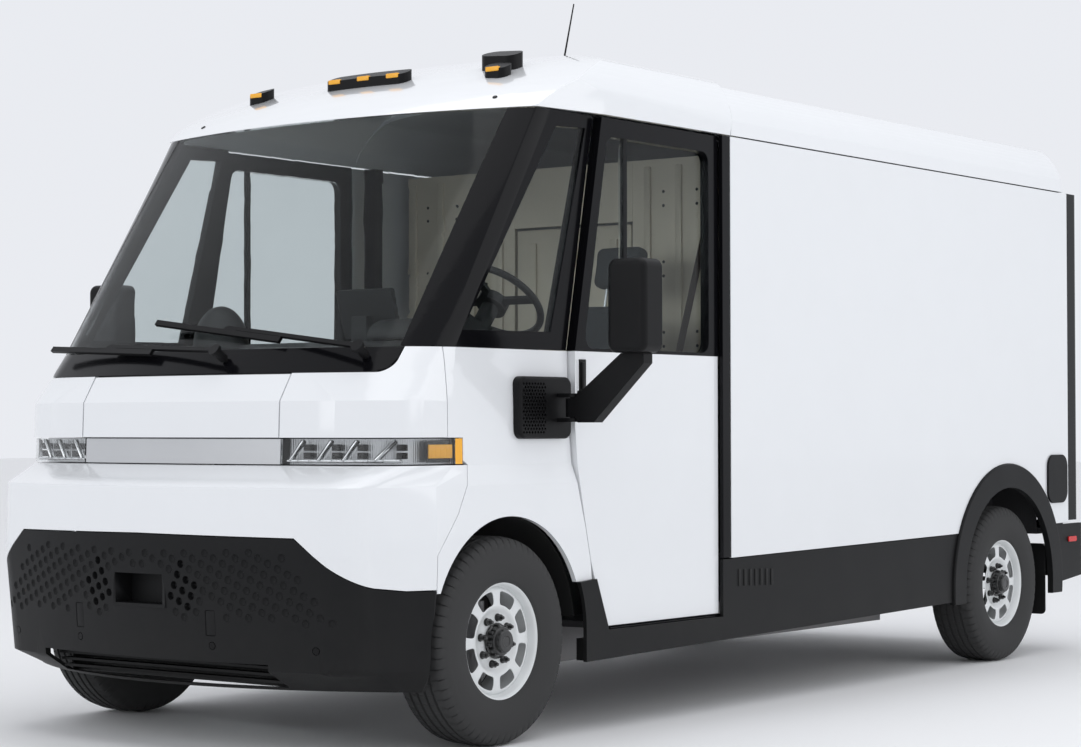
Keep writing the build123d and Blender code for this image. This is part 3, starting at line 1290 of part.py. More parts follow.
def road_tyre(axle_y):
    """Tyre section turned about the axle, hollow towards the rim."""
    half = tyre_width / 2
    with BuildPart() as tyre:
        with BuildSketch(Plane.XY.offset(axle_z)):
            with BuildLine():
                def at(x, radius):
                    return (wheel_x + x, axle_y + radius)

                bead = rim_width / 2 - 1
                crown = half - 34
                Polyline(at(-bead, bead_radius), at(-bead, bead_radius + 22))
                middle = (bead_radius + tyre_radius) / 2
                Spline(at(-bead, bead_radius + 22), at(-half, middle + 6),
                       at(-half + 7, tyre_radius - 36), at(-crown, tyre_radius - 6))
                ThreePointArc(at(-crown, tyre_radius - 6), at(0, tyre_radius), at(crown, tyre_radius - 6))
                Spline(at(crown, tyre_radius - 6), at(half - 7, tyre_radius - 36),
                       at(half, middle + 6), at(bead, bead_radius + 22))
                Polyline(at(bead, bead_radius + 22), at(bead, bead_radius), at(bead - tyre_wall, bead_radius),
                         at(half - tyre_wall, middle), at(crown - 8, tyre_radius - 2 * tyre_wall),
                         at(8 - crown, tyre_radius - 2 * tyre_wall), at(tyre_wall - half, middle),
                         at(tyre_wall - bead, bead_radius), at(-bead, bead_radius))
            make_face()
        revolve(axis=Axis((0, axle_y, axle_z), (1, 0, 0)), revolution_arc=360)
    return tyre.part


with BuildPart() as wheel_front_left:
    add(road_wheel(front_axle_y))
wheel_front_left.part.label = "wheel_front_left"
export_step(wheel_front_left.part, "parts/wheel_front_left.step")
with BuildPart() as wheel_front_right:
    mirror(wheel_front_left.part, about=Plane.YZ)
wheel_front_right.part.label = "wheel_front_right"
export_step(wheel_front_right.part, "parts/wheel_front_right.step")
with BuildPart() as wheel_rear_left:
    add(road_wheel(rear_axle_y))
wheel_rear_left.part.label = "wheel_rear_left"
export_step(wheel_rear_left.part, "parts/wheel_rear_left.step")
with BuildPart() as wheel_rear_right:
    mirror(wheel_rear_left.part, about=Plane.YZ)
wheel_rear_right.part.label = "wheel_rear_right"
export_step(wheel_rear_right.part, "parts/wheel_rear_right.step")

with BuildPart() as tyre_front_left:
    add(road_tyre(front_axle_y))
tyre_front_left.part.label = "tyre_front_left"
export_step(tyre_front_left.part, "parts/tyre_front_left.step")
with BuildPart() as tyre_front_right:
    mirror(tyre_front_left.part, about=Plane.YZ)
tyre_front_right.part.label = "tyre_front_right"
export_step(tyre_front_right.part, "parts/tyre_front_right.step")
with BuildPart() as tyre_rear_left:
    add(road_tyre(rear_axle_y))
tyre_rear_left.part.label = "tyre_rear_left"
export_step(tyre_rear_left.part, "parts/tyre_rear_left.step")
with BuildPart() as tyre_rear_right:
    mirror(tyre_rear_left.part, about=Plane.YZ)
tyre_rear_right.part.label = "tyre_rear_right"
export_step(tyre_rear_right.part, "parts/tyre_rear_right.step")

liner_wall, liner_bottom_z = 6.0, 300.0
with BuildPart() as wheel_liners:
    with BuildSketch(Plane.YZ.offset(well_inner_x)):
        with Locations((front_axle_y + front_arch_shift, axle_z + arch_lift)):
            Circle(arch_radius + liner_wall + 1)
            Circle(arch_radius + 1, mode=Mode.SUBTRACT)
        with Locations((front_axle_y, liner_bottom_z - 500)):
            Rectangle(2000, 1260, mode=Mode.SUBTRACT)
    extrude(amount=half_width - 62 - well_inner_x)
    with BuildSketch(Plane.YZ.offset(well_inner_x - liner_wall)):
        with Locations((front_axle_y + front_arch_shift, axle_z + arch_lift)):
            Circle(arch_radius + liner_wall + 1)
        with Locations((front_axle_y, axle_z - 500 + 220)):
            Rectangle(2000, 1000, mode=Mode.SUBTRACT)
    extrude(amount=liner_wall)
    mirror(about=Plane.YZ)
    add(bumper_cover.part, mode=Mode.SUBTRACT)
    add(fenders.part, mode=Mode.SUBTRACT)
    add(sill_covers.part, mode=Mode.SUBTRACT)
wheel_liners.part.label = "wheel_liners"
export_step(wheel_liners.part, "parts/wheel_liners.step")
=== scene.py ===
"""Looks of the mail delivery truck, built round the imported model."""

import json
import logging
import math
from dataclasses import dataclass, field
from enum import Enum
from typing import Iterable, Sequence

import bmesh
import bpy
from bmesh.types import BMesh, BMVert
from mathutils import Matrix, Vector
from mathutils.bvhtree import BVHTree

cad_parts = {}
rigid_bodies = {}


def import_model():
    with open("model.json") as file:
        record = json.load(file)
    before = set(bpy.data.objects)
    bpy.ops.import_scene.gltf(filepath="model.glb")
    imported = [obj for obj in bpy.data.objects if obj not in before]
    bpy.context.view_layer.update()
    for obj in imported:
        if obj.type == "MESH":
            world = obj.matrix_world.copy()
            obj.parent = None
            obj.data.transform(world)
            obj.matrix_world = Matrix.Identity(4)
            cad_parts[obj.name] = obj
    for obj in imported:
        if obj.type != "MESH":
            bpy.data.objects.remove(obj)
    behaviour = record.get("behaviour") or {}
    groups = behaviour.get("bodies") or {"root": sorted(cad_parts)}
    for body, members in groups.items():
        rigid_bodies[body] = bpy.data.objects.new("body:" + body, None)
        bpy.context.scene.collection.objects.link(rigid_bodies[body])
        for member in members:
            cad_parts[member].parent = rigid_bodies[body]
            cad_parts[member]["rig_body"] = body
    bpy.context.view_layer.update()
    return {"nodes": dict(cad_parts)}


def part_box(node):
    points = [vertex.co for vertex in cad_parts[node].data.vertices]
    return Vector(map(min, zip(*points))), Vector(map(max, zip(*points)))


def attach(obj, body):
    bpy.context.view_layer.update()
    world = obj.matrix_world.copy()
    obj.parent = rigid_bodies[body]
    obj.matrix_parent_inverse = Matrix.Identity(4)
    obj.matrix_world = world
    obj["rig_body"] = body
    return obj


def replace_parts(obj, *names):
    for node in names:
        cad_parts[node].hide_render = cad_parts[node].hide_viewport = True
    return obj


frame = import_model()
LOG = logging.getLogger("mail_truck")
ROOT = "truck_body"
FRONT_AXLE = -1.988
SIDES = (1, -1)
Colour = tuple[float, float, float]


# ---- finishes -----------------------------------------------------------------------


class Pattern(Enum):
    """Small relief that a finish carries."""

    ORANGE_PEEL = "orange_peel"
    PEBBLE = "pebble"
    BRUSHED = "brushed"
    WEAVE = "weave"
    FLUTED = "fluted"


class Sheet:
    """A node tree being wired, with short ways to add and join its nodes."""

    def __init__(self, tree: bpy.types.NodeTree) -> None:
        """Takes the tree to wire."""
        self.tree = tree

    def add(self, kind: str, **settings: object) -> bpy.types.Node:
        """Adds a node.

        Args:
            kind: the node's type name.
            settings: the node's own properties.

        Returns:
            The new node.
        """
        node = self.tree.nodes.new(kind)
        for key, value in settings.items():
            setattr(node, key, value)
        return node

    def feed(self, socket: bpy.types.NodeSocket, value: object) -> None:
        """Joins value to a socket if it is a socket, or else sets it there."""
        if isinstance(value, bpy.types.NodeSocket):
            self.tree.links.new(value, socket)
        else:
            socket.default_value = value

    def math(self, operation: str, *values: object, clamp: bool = False) -> bpy.types.NodeSocket:
        """Adds a Math node.

        Args:
            operation: the Math node's operation.
            values: sockets or numbers for its inputs.
            clamp: whether the result is held between 0 and 1.

        Returns:
            The node's output.
        """
        node = self.add("ShaderNodeMath", operation=operation, use_clamp=clamp)
        for socket, value in zip(node.inputs, values):
            self.feed(socket, value)
        return node.outputs[0]

    def noise(self, vector: object, scale: float, detail: float = 2.0) -> bpy.types.NodeSocket:
        """Adds a Noise Texture and returns its value."""
        node = self.add("ShaderNodeTexNoise")
        self.feed(node.inputs["Vector"], vector)
        self.feed(node.inputs["Scale"], scale)
        self.feed(node.inputs["Detail"], detail)
        return node.outputs["Fac"]

    def blend(self, share: object, low: object, high: object) -> bpy.types.NodeSocket:
        """Mixes two colours by share and returns the colour."""
        node = self.add("ShaderNodeMix", data_type="RGBA")
        self.feed(node.inputs["Factor"], share)
        self.feed(node.inputs["A"], (*low, 1.0) if isinstance(low, tuple) else low)
        self.feed(node.inputs["B"], (*high, 1.0) if isinstance(high, tuple) else high)
        return node.outputs["Result"]


class GroupBook:
    """The node groups that the finishes share, each built once."""

    built: dict[str, bpy.types.NodeTree] = {}

    @classmethod
    def start(cls, name: str, inputs: Sequence[str], outputs: Sequence[str]) -> tuple[Sheet, dict]:
        """Opens a new group.

        Args:
            name: the group's name.
            inputs: names of its number inputs.
            outputs: names of its number outputs.

        Returns:
            Its sheet, and its inner sockets by name.
        """
        tree = bpy.data.node_groups.new(name, "ShaderNodeTree")
        for title in inputs:
            tree.interface.new_socket(title, in_out="INPUT", socket_type="NodeSocketFloat")
        for title in outputs:
            tree.interface.new_socket(title, in_out="OUTPUT", socket_type="NodeSocketFloat")
        sheet = Sheet(tree)
        inner, outer = sheet.add("NodeGroupInput"), sheet.add("NodeGroupOutput")
        sockets = {title: inner.outputs[title] for title in inputs}
        sockets |= {"out " + title: outer.inputs[title] for title in outputs}
        sockets["point"] = sheet.add("ShaderNodeTexCoord").outputs["Object"]
        cls.built[name] = tree
        return sheet, sockets

    @staticmethod
    def scaled(sheet: Sheet, point: object, size: object, stretch: Colour = (1, 1, 1)) -> object:
        """The point divided by size, drawn out by stretch."""
        shrink = sheet.add("ShaderNodeVectorMath", operation="MULTIPLY")
        sheet.feed(shrink.inputs[0], point)
        shrink.inputs[1].default_value = stretch
        node = sheet.add("ShaderNodeVectorMath", operation="SCALE")
        sheet.feed(node.inputs[0], shrink.outputs[0])
        sheet.feed(node.inputs["Scale"], sheet.math("DIVIDE", 1.0, size))
        return node.outputs[0]

    @classmethod
    def relief(cls, pattern: Pattern) -> bpy.types.NodeTree:
        """The group of one relief, with a Size input in metres and a Height output."""
        if pattern.value in cls.built:
            return cls.built[pattern.value]
        sheet, socket = cls.start(pattern.value, ["Size"], ["Height"])
        point, size = socket["point"], socket["Size"]
        if pattern is Pattern.ORANGE_PEEL:
            height = sheet.noise(cls.scaled(sheet, point, size), 1.0, 1.0)
        elif pattern is Pattern.PEBBLE:
            cells = sheet.add("ShaderNodeTexVoronoi", feature="SMOOTH_F1")
            cells.inputs["Smoothness"].default_value = 0.6
            cells.inputs["Scale"].default_value = 1.0
            sheet.feed(cells.inputs["Vector"], cls.scaled(sheet, point, size))
            fine = sheet.noise(cls.scaled(sheet, point, size), 2.7, 3.0)
            height = sheet.math("ADD", cells.outputs["Distance"], sheet.math("MULTIPLY", fine, 0.4))
        elif pattern is Pattern.BRUSHED:
            height = sheet.noise(cls.scaled(sheet, point, size, (0.02, 0.02, 1.0)), 1.0, 4.0)
        elif pattern is Pattern.FLUTED:
            apart = sheet.add("ShaderNodeSeparateXYZ")
            sheet.feed(apart.inputs[0], cls.scaled(sheet, point, size))
            along = sheet.math("ADD", apart.outputs["X"], apart.outputs["Y"])
            height = sheet.math("ABSOLUTE", sheet.math("SINE", sheet.math("MULTIPLY", along, math.pi)))
        else:
            apart = sheet.add("ShaderNodeSeparateXYZ")
            sheet.feed(apart.inputs[0], cls.scaled(sheet, point, size))
            rise = sheet.math("ADD", apart.outputs["Y"], apart.outputs["Z"])
            warp = sheet.math("SINE", sheet.math("MULTIPLY", apart.outputs["X"], math.pi))
            weft = sheet.math("SINE", sheet.math("MULTIPLY", rise, math.pi))
            height = sheet.math("ABSOLUTE", sheet.math("MULTIPLY", warp, weft))
        sheet.feed(socket["out Height"], height)
        return cls.built[pattern.value]

    @classmethod
    def patches(cls) -> bpy.types.NodeTree:
        """Broad cloudy change over a surface, as a mask round 0.5."""
        if "patches" not in cls.built:
            sheet, socket = cls.start("patches", ["Size"], ["Mask"])
            point = cls.scaled(sheet, socket["point"], socket["Size"])
            sheet.feed(socket["out Mask"], sheet.noise(point, 1.0, 4.0))
        return cls.built["patches"]

    @classmethod
    def road_dust(cls) -> bpy.types.NodeTree:
        """Mask of dust, strongest by the road and gone above Reach metres."""
        if "road_dust" not in cls.built:
            sheet, socket = cls.start("road_dust", ["Reach", "Amount"], ["Mask"])
            apart = sheet.add("ShaderNodeSeparateXYZ")
            sheet.feed(apart.inputs[0], socket["point"])
            fall = sheet.math("DIVIDE", apart.outputs["Z"], socket["Reach"])
            low = sheet.math("SUBTRACT", 1.0, fall, clamp=True)
            cloud = sheet.noise(socket["point"], 9.0, 5.0)
            mask = sheet.math("MULTIPLY", sheet.math("MULTIPLY", low, cloud), socket["Amount"], clamp=True)
            sheet.feed(socket["out Mask"], mask)
        return cls.built["road_dust"]


@dataclass(frozen=True)
class Finish:
    """An opaque finish: its colour, gloss and relief, and the record's slot it stands for."""

    name: str
    slot: str
    colour: Colour
    roughness: float = 0.4
    metallic: float = 0.0
    coat: float = 0.0
    pattern: Pattern = Pattern.PEBBLE
    size: float = 0.002
    depth: float = 0.0001
    tone: float = 0.12
    gloss_change: float = 0.1
    shine: float = 0.5
    dust: float = 0.0
    dust_reach: float = 1.0
    glow: float = 0.0

    def material(self) -> bpy.types.Material:
        """The finish's material, built on first use."""
        made = bpy.data.materials.get(self.name)
        return made or self.build()

    def build(self) -> bpy.types.Material:
        """Wires the material.

        Returns:
            A material whose colour, roughness and normal vary over the surface.
        """
        made = bpy.data.materials.new(self.name)
        made.use_nodes = True
        made.diffuse_color = (*self.colour, 1.0)
        sheet = Sheet(made.node_tree)
        shader = made.node_tree.nodes["Principled BSDF"]
        shader.inputs["Metallic"].default_value = self.metallic
        shader.inputs["Coat Weight"].default_value = self.coat
        shader.inputs["Coat Roughness"].default_value = 0.04
        shader.inputs["Specular IOR Level"].default_value = self.shine
        relief = sheet.add("ShaderNodeGroup", node_tree=GroupBook.relief(self.pattern))
        relief.inputs["Size"].default_value = self.size
        cloud = sheet.add("ShaderNodeGroup", node_tree=GroupBook.patches())
        cloud.inputs["Size"].default_value = 0.25
        darker = tuple(c * (1 - self.tone) for c in self.colour)
        lighter = tuple(min(1.0, c * (1 + self.tone * 0.5)) for c in self.colour)
        colour = sheet.blend(cloud.outputs["Mask"], darker, lighter)
        speckle = sheet.math("MULTIPLY", relief.outputs["Height"], self.tone * 0.6)
        colour = sheet.blend(speckle, colour, tuple(c * 0.6 for c in self.colour))
        swing = sheet.math("MULTIPLY", sheet.math("SUBTRACT", cloud.outputs["Mask"], 0.5), self.gloss_change)
        rough = sheet.math("ADD", self.roughness, swing, clamp=True)
        if self.dust:
            dust = sheet.add("ShaderNodeGroup", node_tree=GroupBook.road_dust())
            dust.inputs["Reach"].default_value = self.dust_reach
            dust.inputs["Amount"].default_value = self.dust
            colour = sheet.blend(dust.outputs["Mask"], colour, (0.30, 0.28, 0.25))
            rough = sheet.math("ADD", rough, sheet.math("MULTIPLY", dust.outputs["Mask"], 0.4), clamp=True)
        sheet.feed(shader.inputs["Base Color"], colour)
        sheet.feed(shader.inputs["Roughness"], rough)
        if self.glow:
            sheet.feed(shader.inputs["Emission Color"], colour)
            shader.inputs["Emission Strength"].default_value = self.glow
        bump = sheet.add("ShaderNodeBump")
        bump.inputs["Strength"].default_value = 1.0
        bump.inputs["Distance"].default_value = self.depth
        sheet.feed(bump.inputs["Height"], relief.outputs["Height"])
        sheet.feed(shader.inputs["Normal"], bump.outputs["Normal"])
        return made


@dataclass(frozen=True)
class Glass:
    """A see-through finish that lets lamps through."""

    name: str
    slot: str
    tint: Colour
    shade: Colour
    bend: float = 1.1
    roughness: float = 0.0
    pattern: Pattern = Pattern.ORANGE_PEEL
    size: float = 0.6
    depth: float = 0.00002

    def material(self) -> bpy.types.Material:
        """The glass's material, built on first use."""
        made = bpy.data.materials.get(self.name)
        return made or self.build()

    def build(self) -> bpy.types.Material:
        """Wires the material.

        Returns:
            Glass for the eye, and a plain tint for rays that cast shadows.
        """
        made = bpy.data.materials.new(self.name)
        made.use_nodes = True
        made.diffuse_color = (*self.tint, 0.4)
        sheet = Sheet(made.node_tree)
        shader = made.node_tree.nodes["Principled BSDF"]
        shader.inputs["Transmission Weight"].default_value = 1.0
        shader.inputs["Roughness"].default_value = self.roughness
        shader.inputs["IOR"].default_value = self.bend
        shader.inputs["Coat Weight"].default_value = 0.2
        cloud = sheet.add("ShaderNodeGroup", node_tree=GroupBook.patches())
        cloud.inputs["Size"].default_value = 0.5
        colour = sheet.blend(cloud.outputs["Mask"], tuple(c * 0.94 for c in self.tint), self.tint)
        sheet.feed(shader.inputs["Base Color"], colour)
        relief = sheet.add("ShaderNodeGroup", node_tree=GroupBook.relief(self.pattern))
        relief.inputs["Size"].default_value = self.size
        bump = sheet.add("ShaderNodeBump")
        bump.inputs["Strength"].default_value = 1.0
        bump.inputs["Distance"].default_value = self.depth
        sheet.feed(bump.inputs["Height"], relief.outputs["Height"])
        sheet.feed(shader.inputs["Normal"], bump.outputs["Normal"])
        through = sheet.add("ShaderNodeBsdfTransparent")
        through.inputs["Color"].default_value = (*self.shade, 1.0)
        path, mix = sheet.add("ShaderNodeLightPath"), sheet.add("ShaderNodeMixShader")
        sheet.feed(mix.inputs["Fac"], path.outputs["Is Shadow Ray"])
        sheet.feed(mix.inputs[1], shader.outputs["BSDF"])
        sheet.feed(mix.inputs[2], through.outputs["BSDF"])
        sheet.feed(made.node_tree.nodes["Material Output"].inputs["Surface"], mix.outputs[0])
        return made


WHITE_PAINT = Finish("white_gloss_paint", "white_paint", (0.83, 0.845, 0.86), 0.2, coat=1.0,
                     pattern=Pattern.ORANGE_PEEL, size=0.006, depth=0.00001, tone=0.02,
                     gloss_change=0.06, dust=0.05, dust_reach=0.9)
BLACK_GLOSS = Finish("black_gloss_trim", "black_gloss", (0.004, 0.004, 0.005), 0.16, coat=0.05,
                     pattern=Pattern.ORANGE_PEEL, size=0.005, depth=0.00001, shine=0.12)
CLADDING = Finish("grained_cladding", "dark_cladding", (0.008, 0.0083, 0.009), 0.46, size=0.0016,
                  depth=0.00012, shine=0.16, dust=0.05, dust_reach=0.7)
BLACK_PLASTIC = Finish("grained_black_plastic", "black_plastic", (0.006, 0.006, 0.0065), 0.4,
                       size=0.0014, depth=0.0001, shine=0.16)
# Near-black plastic on the wheel liners and sill louvres, and also painted shade: the sheet behind the lower
# slot and the discs that stand in for the bulkhead's holes.
BLACK_PLASTIC_AND_SHADE = Finish("black_plastic_and_painted_shade", "black_plastic", (0.004, 0.004, 0.004), 0.7, size=0.003)
SATIN_BAR = Finish("satin_metal_bar", "satin_bar", (0.60, 0.61, 0.62), 0.33, metallic=0.85,
                   pattern=Pattern.BRUSHED, size=0.0008, depth=0.00002, tone=0.06)
CHROME = Finish("bright_reflector", "lamp_reflector", (0.82, 0.83, 0.84), 0.09, metallic=1.0,
                pattern=Pattern.ORANGE_PEEL, size=0.01, depth=0.00003, tone=0.03)
LAMP_GREY = Finish("lamp_bowl_grey", "lamp_reflector", (0.62, 0.63, 0.64), 0.22, metallic=0.7,
                   pattern=Pattern.FLUTED, size=0.012, depth=0.0009, tone=0.1)
LAMP_DARK = Finish("lamp_module_black", "lamp_reflector", (0.012, 0.011, 0.010), 0.25, size=0.004)
MIRROR = Finish("silvered_mirror", "mirror_glass", (0.86, 0.88, 0.89), 0.02, metallic=1.0,
                pattern=Pattern.ORANGE_PEEL, size=0.2, depth=0.0001, tone=0.02, gloss_change=0.01)
RUBBER = Finish("tyre_rubber", "tyre_rubber", (0.009, 0.009, 0.0095), 0.6, size=0.0018,
                depth=0.00015, shine=0.2, dust=0.12, dust_reach=1.3, tone=0.2)
WHEEL_WHITE = Finish("white_wheel_enamel", "white_steel", (0.76, 0.78, 0.78), 0.3, coat=0.4,
                     pattern=Pattern.ORANGE_PEEL, size=0.004, depth=0.00003, tone=0.05,
                     dust=0.12, dust_reach=0.9)
HUB_BLACK = Finish("hub_black_enamel", "chassis_steel", (0.006, 0.006, 0.006), 0.28, coat=0.4,
                   size=0.006, depth=0.0002)
CHASSIS = Finish("chassis_black_paint", "chassis_steel", (0.018, 0.018, 0.019), 0.55, size=0.004,
                 depth=0.0002, dust=0.5, dust_reach=0.8)
CAST = Finish("cast_aluminium", "cast_metal", (0.33, 0.33, 0.34), 0.5, metallic=0.8, size=0.003,
              depth=0.0003, dust=0.5, dust_reach=0.8)
CASE = Finish("battery_case_alloy", "alloy_case", (0.22, 0.22, 0.23), 0.5, metallic=0.6, size=0.003,
              depth=0.0002, dust=0.6, dust_reach=0.8)
BULKHEAD = Finish("rolled_bulkhead_sheet", "bulkhead_metal", (0.86, 0.77, 0.62), 0.42, metallic=0.25,
                  pattern=Pattern.BRUSHED, size=0.004, depth=0.00008, tone=0.18)
FLOOR_MAT = Finish("ribbed_floor_covering", "floor_covering", (0.055, 0.055, 0.058), 0.7,
                   pattern=Pattern.FLUTED, size=0.012, depth=0.0006)
SEAT_CLOTH = Finish("woven_seat_cloth", "seat_fabric", (0.052, 0.062, 0.070), 0.85,
                    pattern=Pattern.WEAVE, size=0.0035, depth=0.0006, tone=0.25)
DASH = Finish("dash_soft_plastic", "dash_plastic", (0.022, 0.022, 0.023), 0.55, size=0.0018,
              depth=0.00012)
WEBBING = Finish("belt_webbing", "seat_fabric", (0.19, 0.15, 0.145), 0.8, pattern=Pattern.WEAVE,
                 size=0.0022, depth=0.0004)
TINTED = Glass("tinted_safety_glass", "tinted_glass", (0.75, 0.79, 0.79), (0.7, 0.74, 0.74))
LAMP_GLASS = Glass("clear_lamp_cover", "lamp_glass", (0.97, 0.98, 0.98), (0.9, 0.92, 0.92), bend=1.3)
AMBER = Finish("amber_lens", "amber_lens", (0.83, 0.25, 0.015), 0.16, coat=1.0,
               pattern=Pattern.FLUTED, size=0.008, depth=0.0006, glow=0.12)
RED = Finish("red_lens", "red_lens", (0.42, 0.012, 0.01), 0.16, coat=1.0, pattern=Pattern.FLUTED,
             size=0.009, depth=0.0006, glow=0.05)


# ---- mesh making --------------------------------------------------------------------


def put(bm: BMesh, name: str, body: str, finish: Finish | Glass, *, crease: float = 35.0,
        bevel: float = 0.0, turned: bool = True, rounds: int = 0) -> bpy.types.Object:
    """Turns a bmesh into a finished piece that rides on a body.

    Args:
        bm: the shape, in metres in the truck's own frame; it is freed.
        name: the piece's name.
        body: the body that it moves with.
        finish: what it is coated with.
        crease: edges sharper than this, in degrees, stay sharp.
        bevel: width of the bevel on sharp edges, or 0.
        turned: whether the faces are turned outwards first.
        rounds: levels of subdivision.

    Returns:
        The piece.
    """
    if turned:
        bmesh.ops.recalc_face_normals(bm, faces=bm.faces[:])
    mesh = bpy.data.meshes.new(name)
    bm.to_mesh(mesh)
    bm.free()
    mesh.materials.append(finish.material())
    mesh.shade_smooth()
    piece = bpy.data.objects.new(name, mesh)
    bpy.context.scene.collection.objects.link(piece)
    if rounds:
        smooth = piece.modifiers.new("rounding", "SUBSURF")
        smooth.levels = smooth.render_levels = rounds
    else:
        mesh.set_sharp_from_angle(angle=math.radians(crease))
    if bevel:
        edge = piece.modifiers.new("edge", "BEVEL")
        edge.width, edge.segments, edge.angle_limit = bevel, 2, math.radians(max(crease, 30.0))
        edge.limit_method, edge.harden_normals = "ANGLE", True
    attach(piece, body)
    return piece


def lump(name: str, body: str, finish: Finish | Glass, parts: Iterable[BMesh],
         **options: object) -> bpy.types.Object:
    """Joins several shapes into one finished piece; options go to put."""
    whole = bmesh.new()
    for part in parts:
        scratch = bpy.data.meshes.new("scratch")
        part.to_mesh(scratch)
        part.free()
        whole.from_mesh(scratch)
        bpy.data.meshes.remove(scratch)
    return put(whole, name, body, finish, **options)


def rounded_box(low: Vector, high: Vector, radius: float, segments: int = 3) -> BMesh:
    """A box between two corners with rounded edges."""
    bm = bmesh.new()
    bmesh.ops.create_cube(bm, size=1.0)
    low, high = Vector(low), Vector(high)
    size = high - low
    bmesh.ops.scale(bm, vec=size, verts=bm.verts[:])
    bmesh.ops.translate(bm, vec=(low + high) / 2, verts=bm.verts[:])
    reach = min(radius, min(size) * 0.49)
    bmesh.ops.bevel(bm, geom=bm.edges[:], offset=reach, segments=segments, profile=0.5,
                    affect="EDGES", material=-1)
    return bm


def turned_shape(profile: Sequence[tuple[float, float]], steps: int, closed: bool = False) -> BMesh:
    """A shape turned about X.

    Args:
        profile: points (along X, radius) in order.
        steps: number of steps round.
        closed: whether the profile's last point joins its first.

    Returns:
        The turned shape, centred on the origin.
    """
    bm = bmesh.new()
    verts = [bm.verts.new((x, 0.0, radius)) for x, radius in profile]
    pairs = list(zip(verts, verts[1:])) + ([(verts[-1], verts[0])] if closed else [])
    edges = [bm.edges.new(pair) for pair in pairs]
    bmesh.ops.spin(bm, geom=verts + edges, cent=(0, 0, 0), axis=(1, 0, 0), angle=math.tau,
                   steps=steps, use_merge=True)
    bmesh.ops.remove_doubles(bm, verts=bm.verts[:], dist=1e-5)
    return bm


def prism(sides: int, radius: float, low: float, high: float, top: float | None = None) -> BMesh:
    """An upright prism or frustum on Z between two heights."""
    bm = bmesh.new()
    bmesh.ops.create_cone(bm, cap_ends=True, segments=sides, radius1=radius,
                          radius2=radius if top is None else top, depth=high - low)
    bmesh.ops.translate(bm, vec=(0, 0, (low + high) / 2), verts=bm.verts[:])
    return bm


def placed(bm: BMesh, matrix: Matrix) -> BMesh:
    """The same shape moved by a matrix."""
    bmesh.ops.transform(bm, matrix=matrix, verts=bm.verts[:])
    if matrix.determinant() < 0:
        bmesh.ops.reverse_faces(bm, faces=bm.faces[:])
    return bm


def facing(point: Vector, normal: Vector, spin: float = 0.0) -> Matrix:
    """Matrix that stands Z on a surface at point, along its normal, with X level."""
    z_axis = Vector(normal).normalized()
    x_axis = Vector((0, 0, 1)).cross(z_axis)
    x_axis = x_axis.normalized() if x_axis.length > 1e-4 else Vector((1, 0, 0))
    turn = Matrix((x_axis, z_axis.cross(x_axis), z_axis)).transposed().to_4x4()
    return Matrix.Translation(point) @ turn @ Matrix.Rotation(spin, 4, "Z")


def merged(node: str) -> BMesh:
    """A merged copy of a CAD node's mesh."""
    bm = bmesh.new()
    bm.from_mesh(frame["nodes"][node].data)
    bmesh.ops.remove_doubles(bm, verts=bm.verts[:], dist=2e-5)
    bmesh.ops.dissolve_degenerate(bm, edges=bm.edges[:], dist=1e-6)
    return bm


def body_of(node: str) -> str:
    """The body a CAD node rides on."""
    return frame["nodes"][node]["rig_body"]


def skin(node: str, finish: Finish | Glass, crease: float = 24.0, bevel: float = 0.0012,
         level: bool = True) -> bpy.types.Object:
    """Stands a smooth copy in for a CAD node.

    Args:
        node: the node it stands for.
        finish: what it is coated with.
        crease: edges sharper than this, in degrees, stay sharp.
        bevel: width of the edge's bevel, or 0.
        level: whether flat faces are joined up and keep their own normals.

    Returns:
        The piece.
    """
    bm = merged(node)
    if level:
        bmesh.ops.dissolve_limit(bm, angle_limit=math.radians(0.4), verts=bm.verts[:], edges=bm.edges[:])
    piece = put(bm, node + "_skin", body_of(node), finish, crease=crease, bevel=bevel, turned=False)
    weight = piece.modifiers.new("flatness", "WEIGHTED_NORMAL")
    weight.keep_sharp = True
    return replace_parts(piece, node)


def coat(node: str, finish: Finish | Glass) -> None:
    """Gives a CAD node that stays its finish."""
    mesh = frame["nodes"][node].data
    mesh.materials.clear()
    mesh.materials.append(finish.material())


class Probe:
    """Finds places on a CAD node's surface."""

    def __init__(self, node: str) -> None:
        """Takes the node to look at."""
        bm = merged(node)
        self.tree = BVHTree.FromBMesh(bm)
        bm.free()

    def hit(self, start: Sequence[float], towards: Sequence[float]) -> tuple[Vector, Vector] | None:
        """The first point and normal from start towards a direction, or None."""
        point, normal, _, _ = self.tree.ray_cast(Vector(start), Vector(towards).normalized())
        if point is None:
            return None
        return point, normal if normal.dot(Vector(towards)) < 0 else -normal


def middle(node: str) -> tuple[Vector, Vector]:
    """A node's centre and half its size."""
    low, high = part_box(node)
    return (low + high) / 2, (high - low) / 2


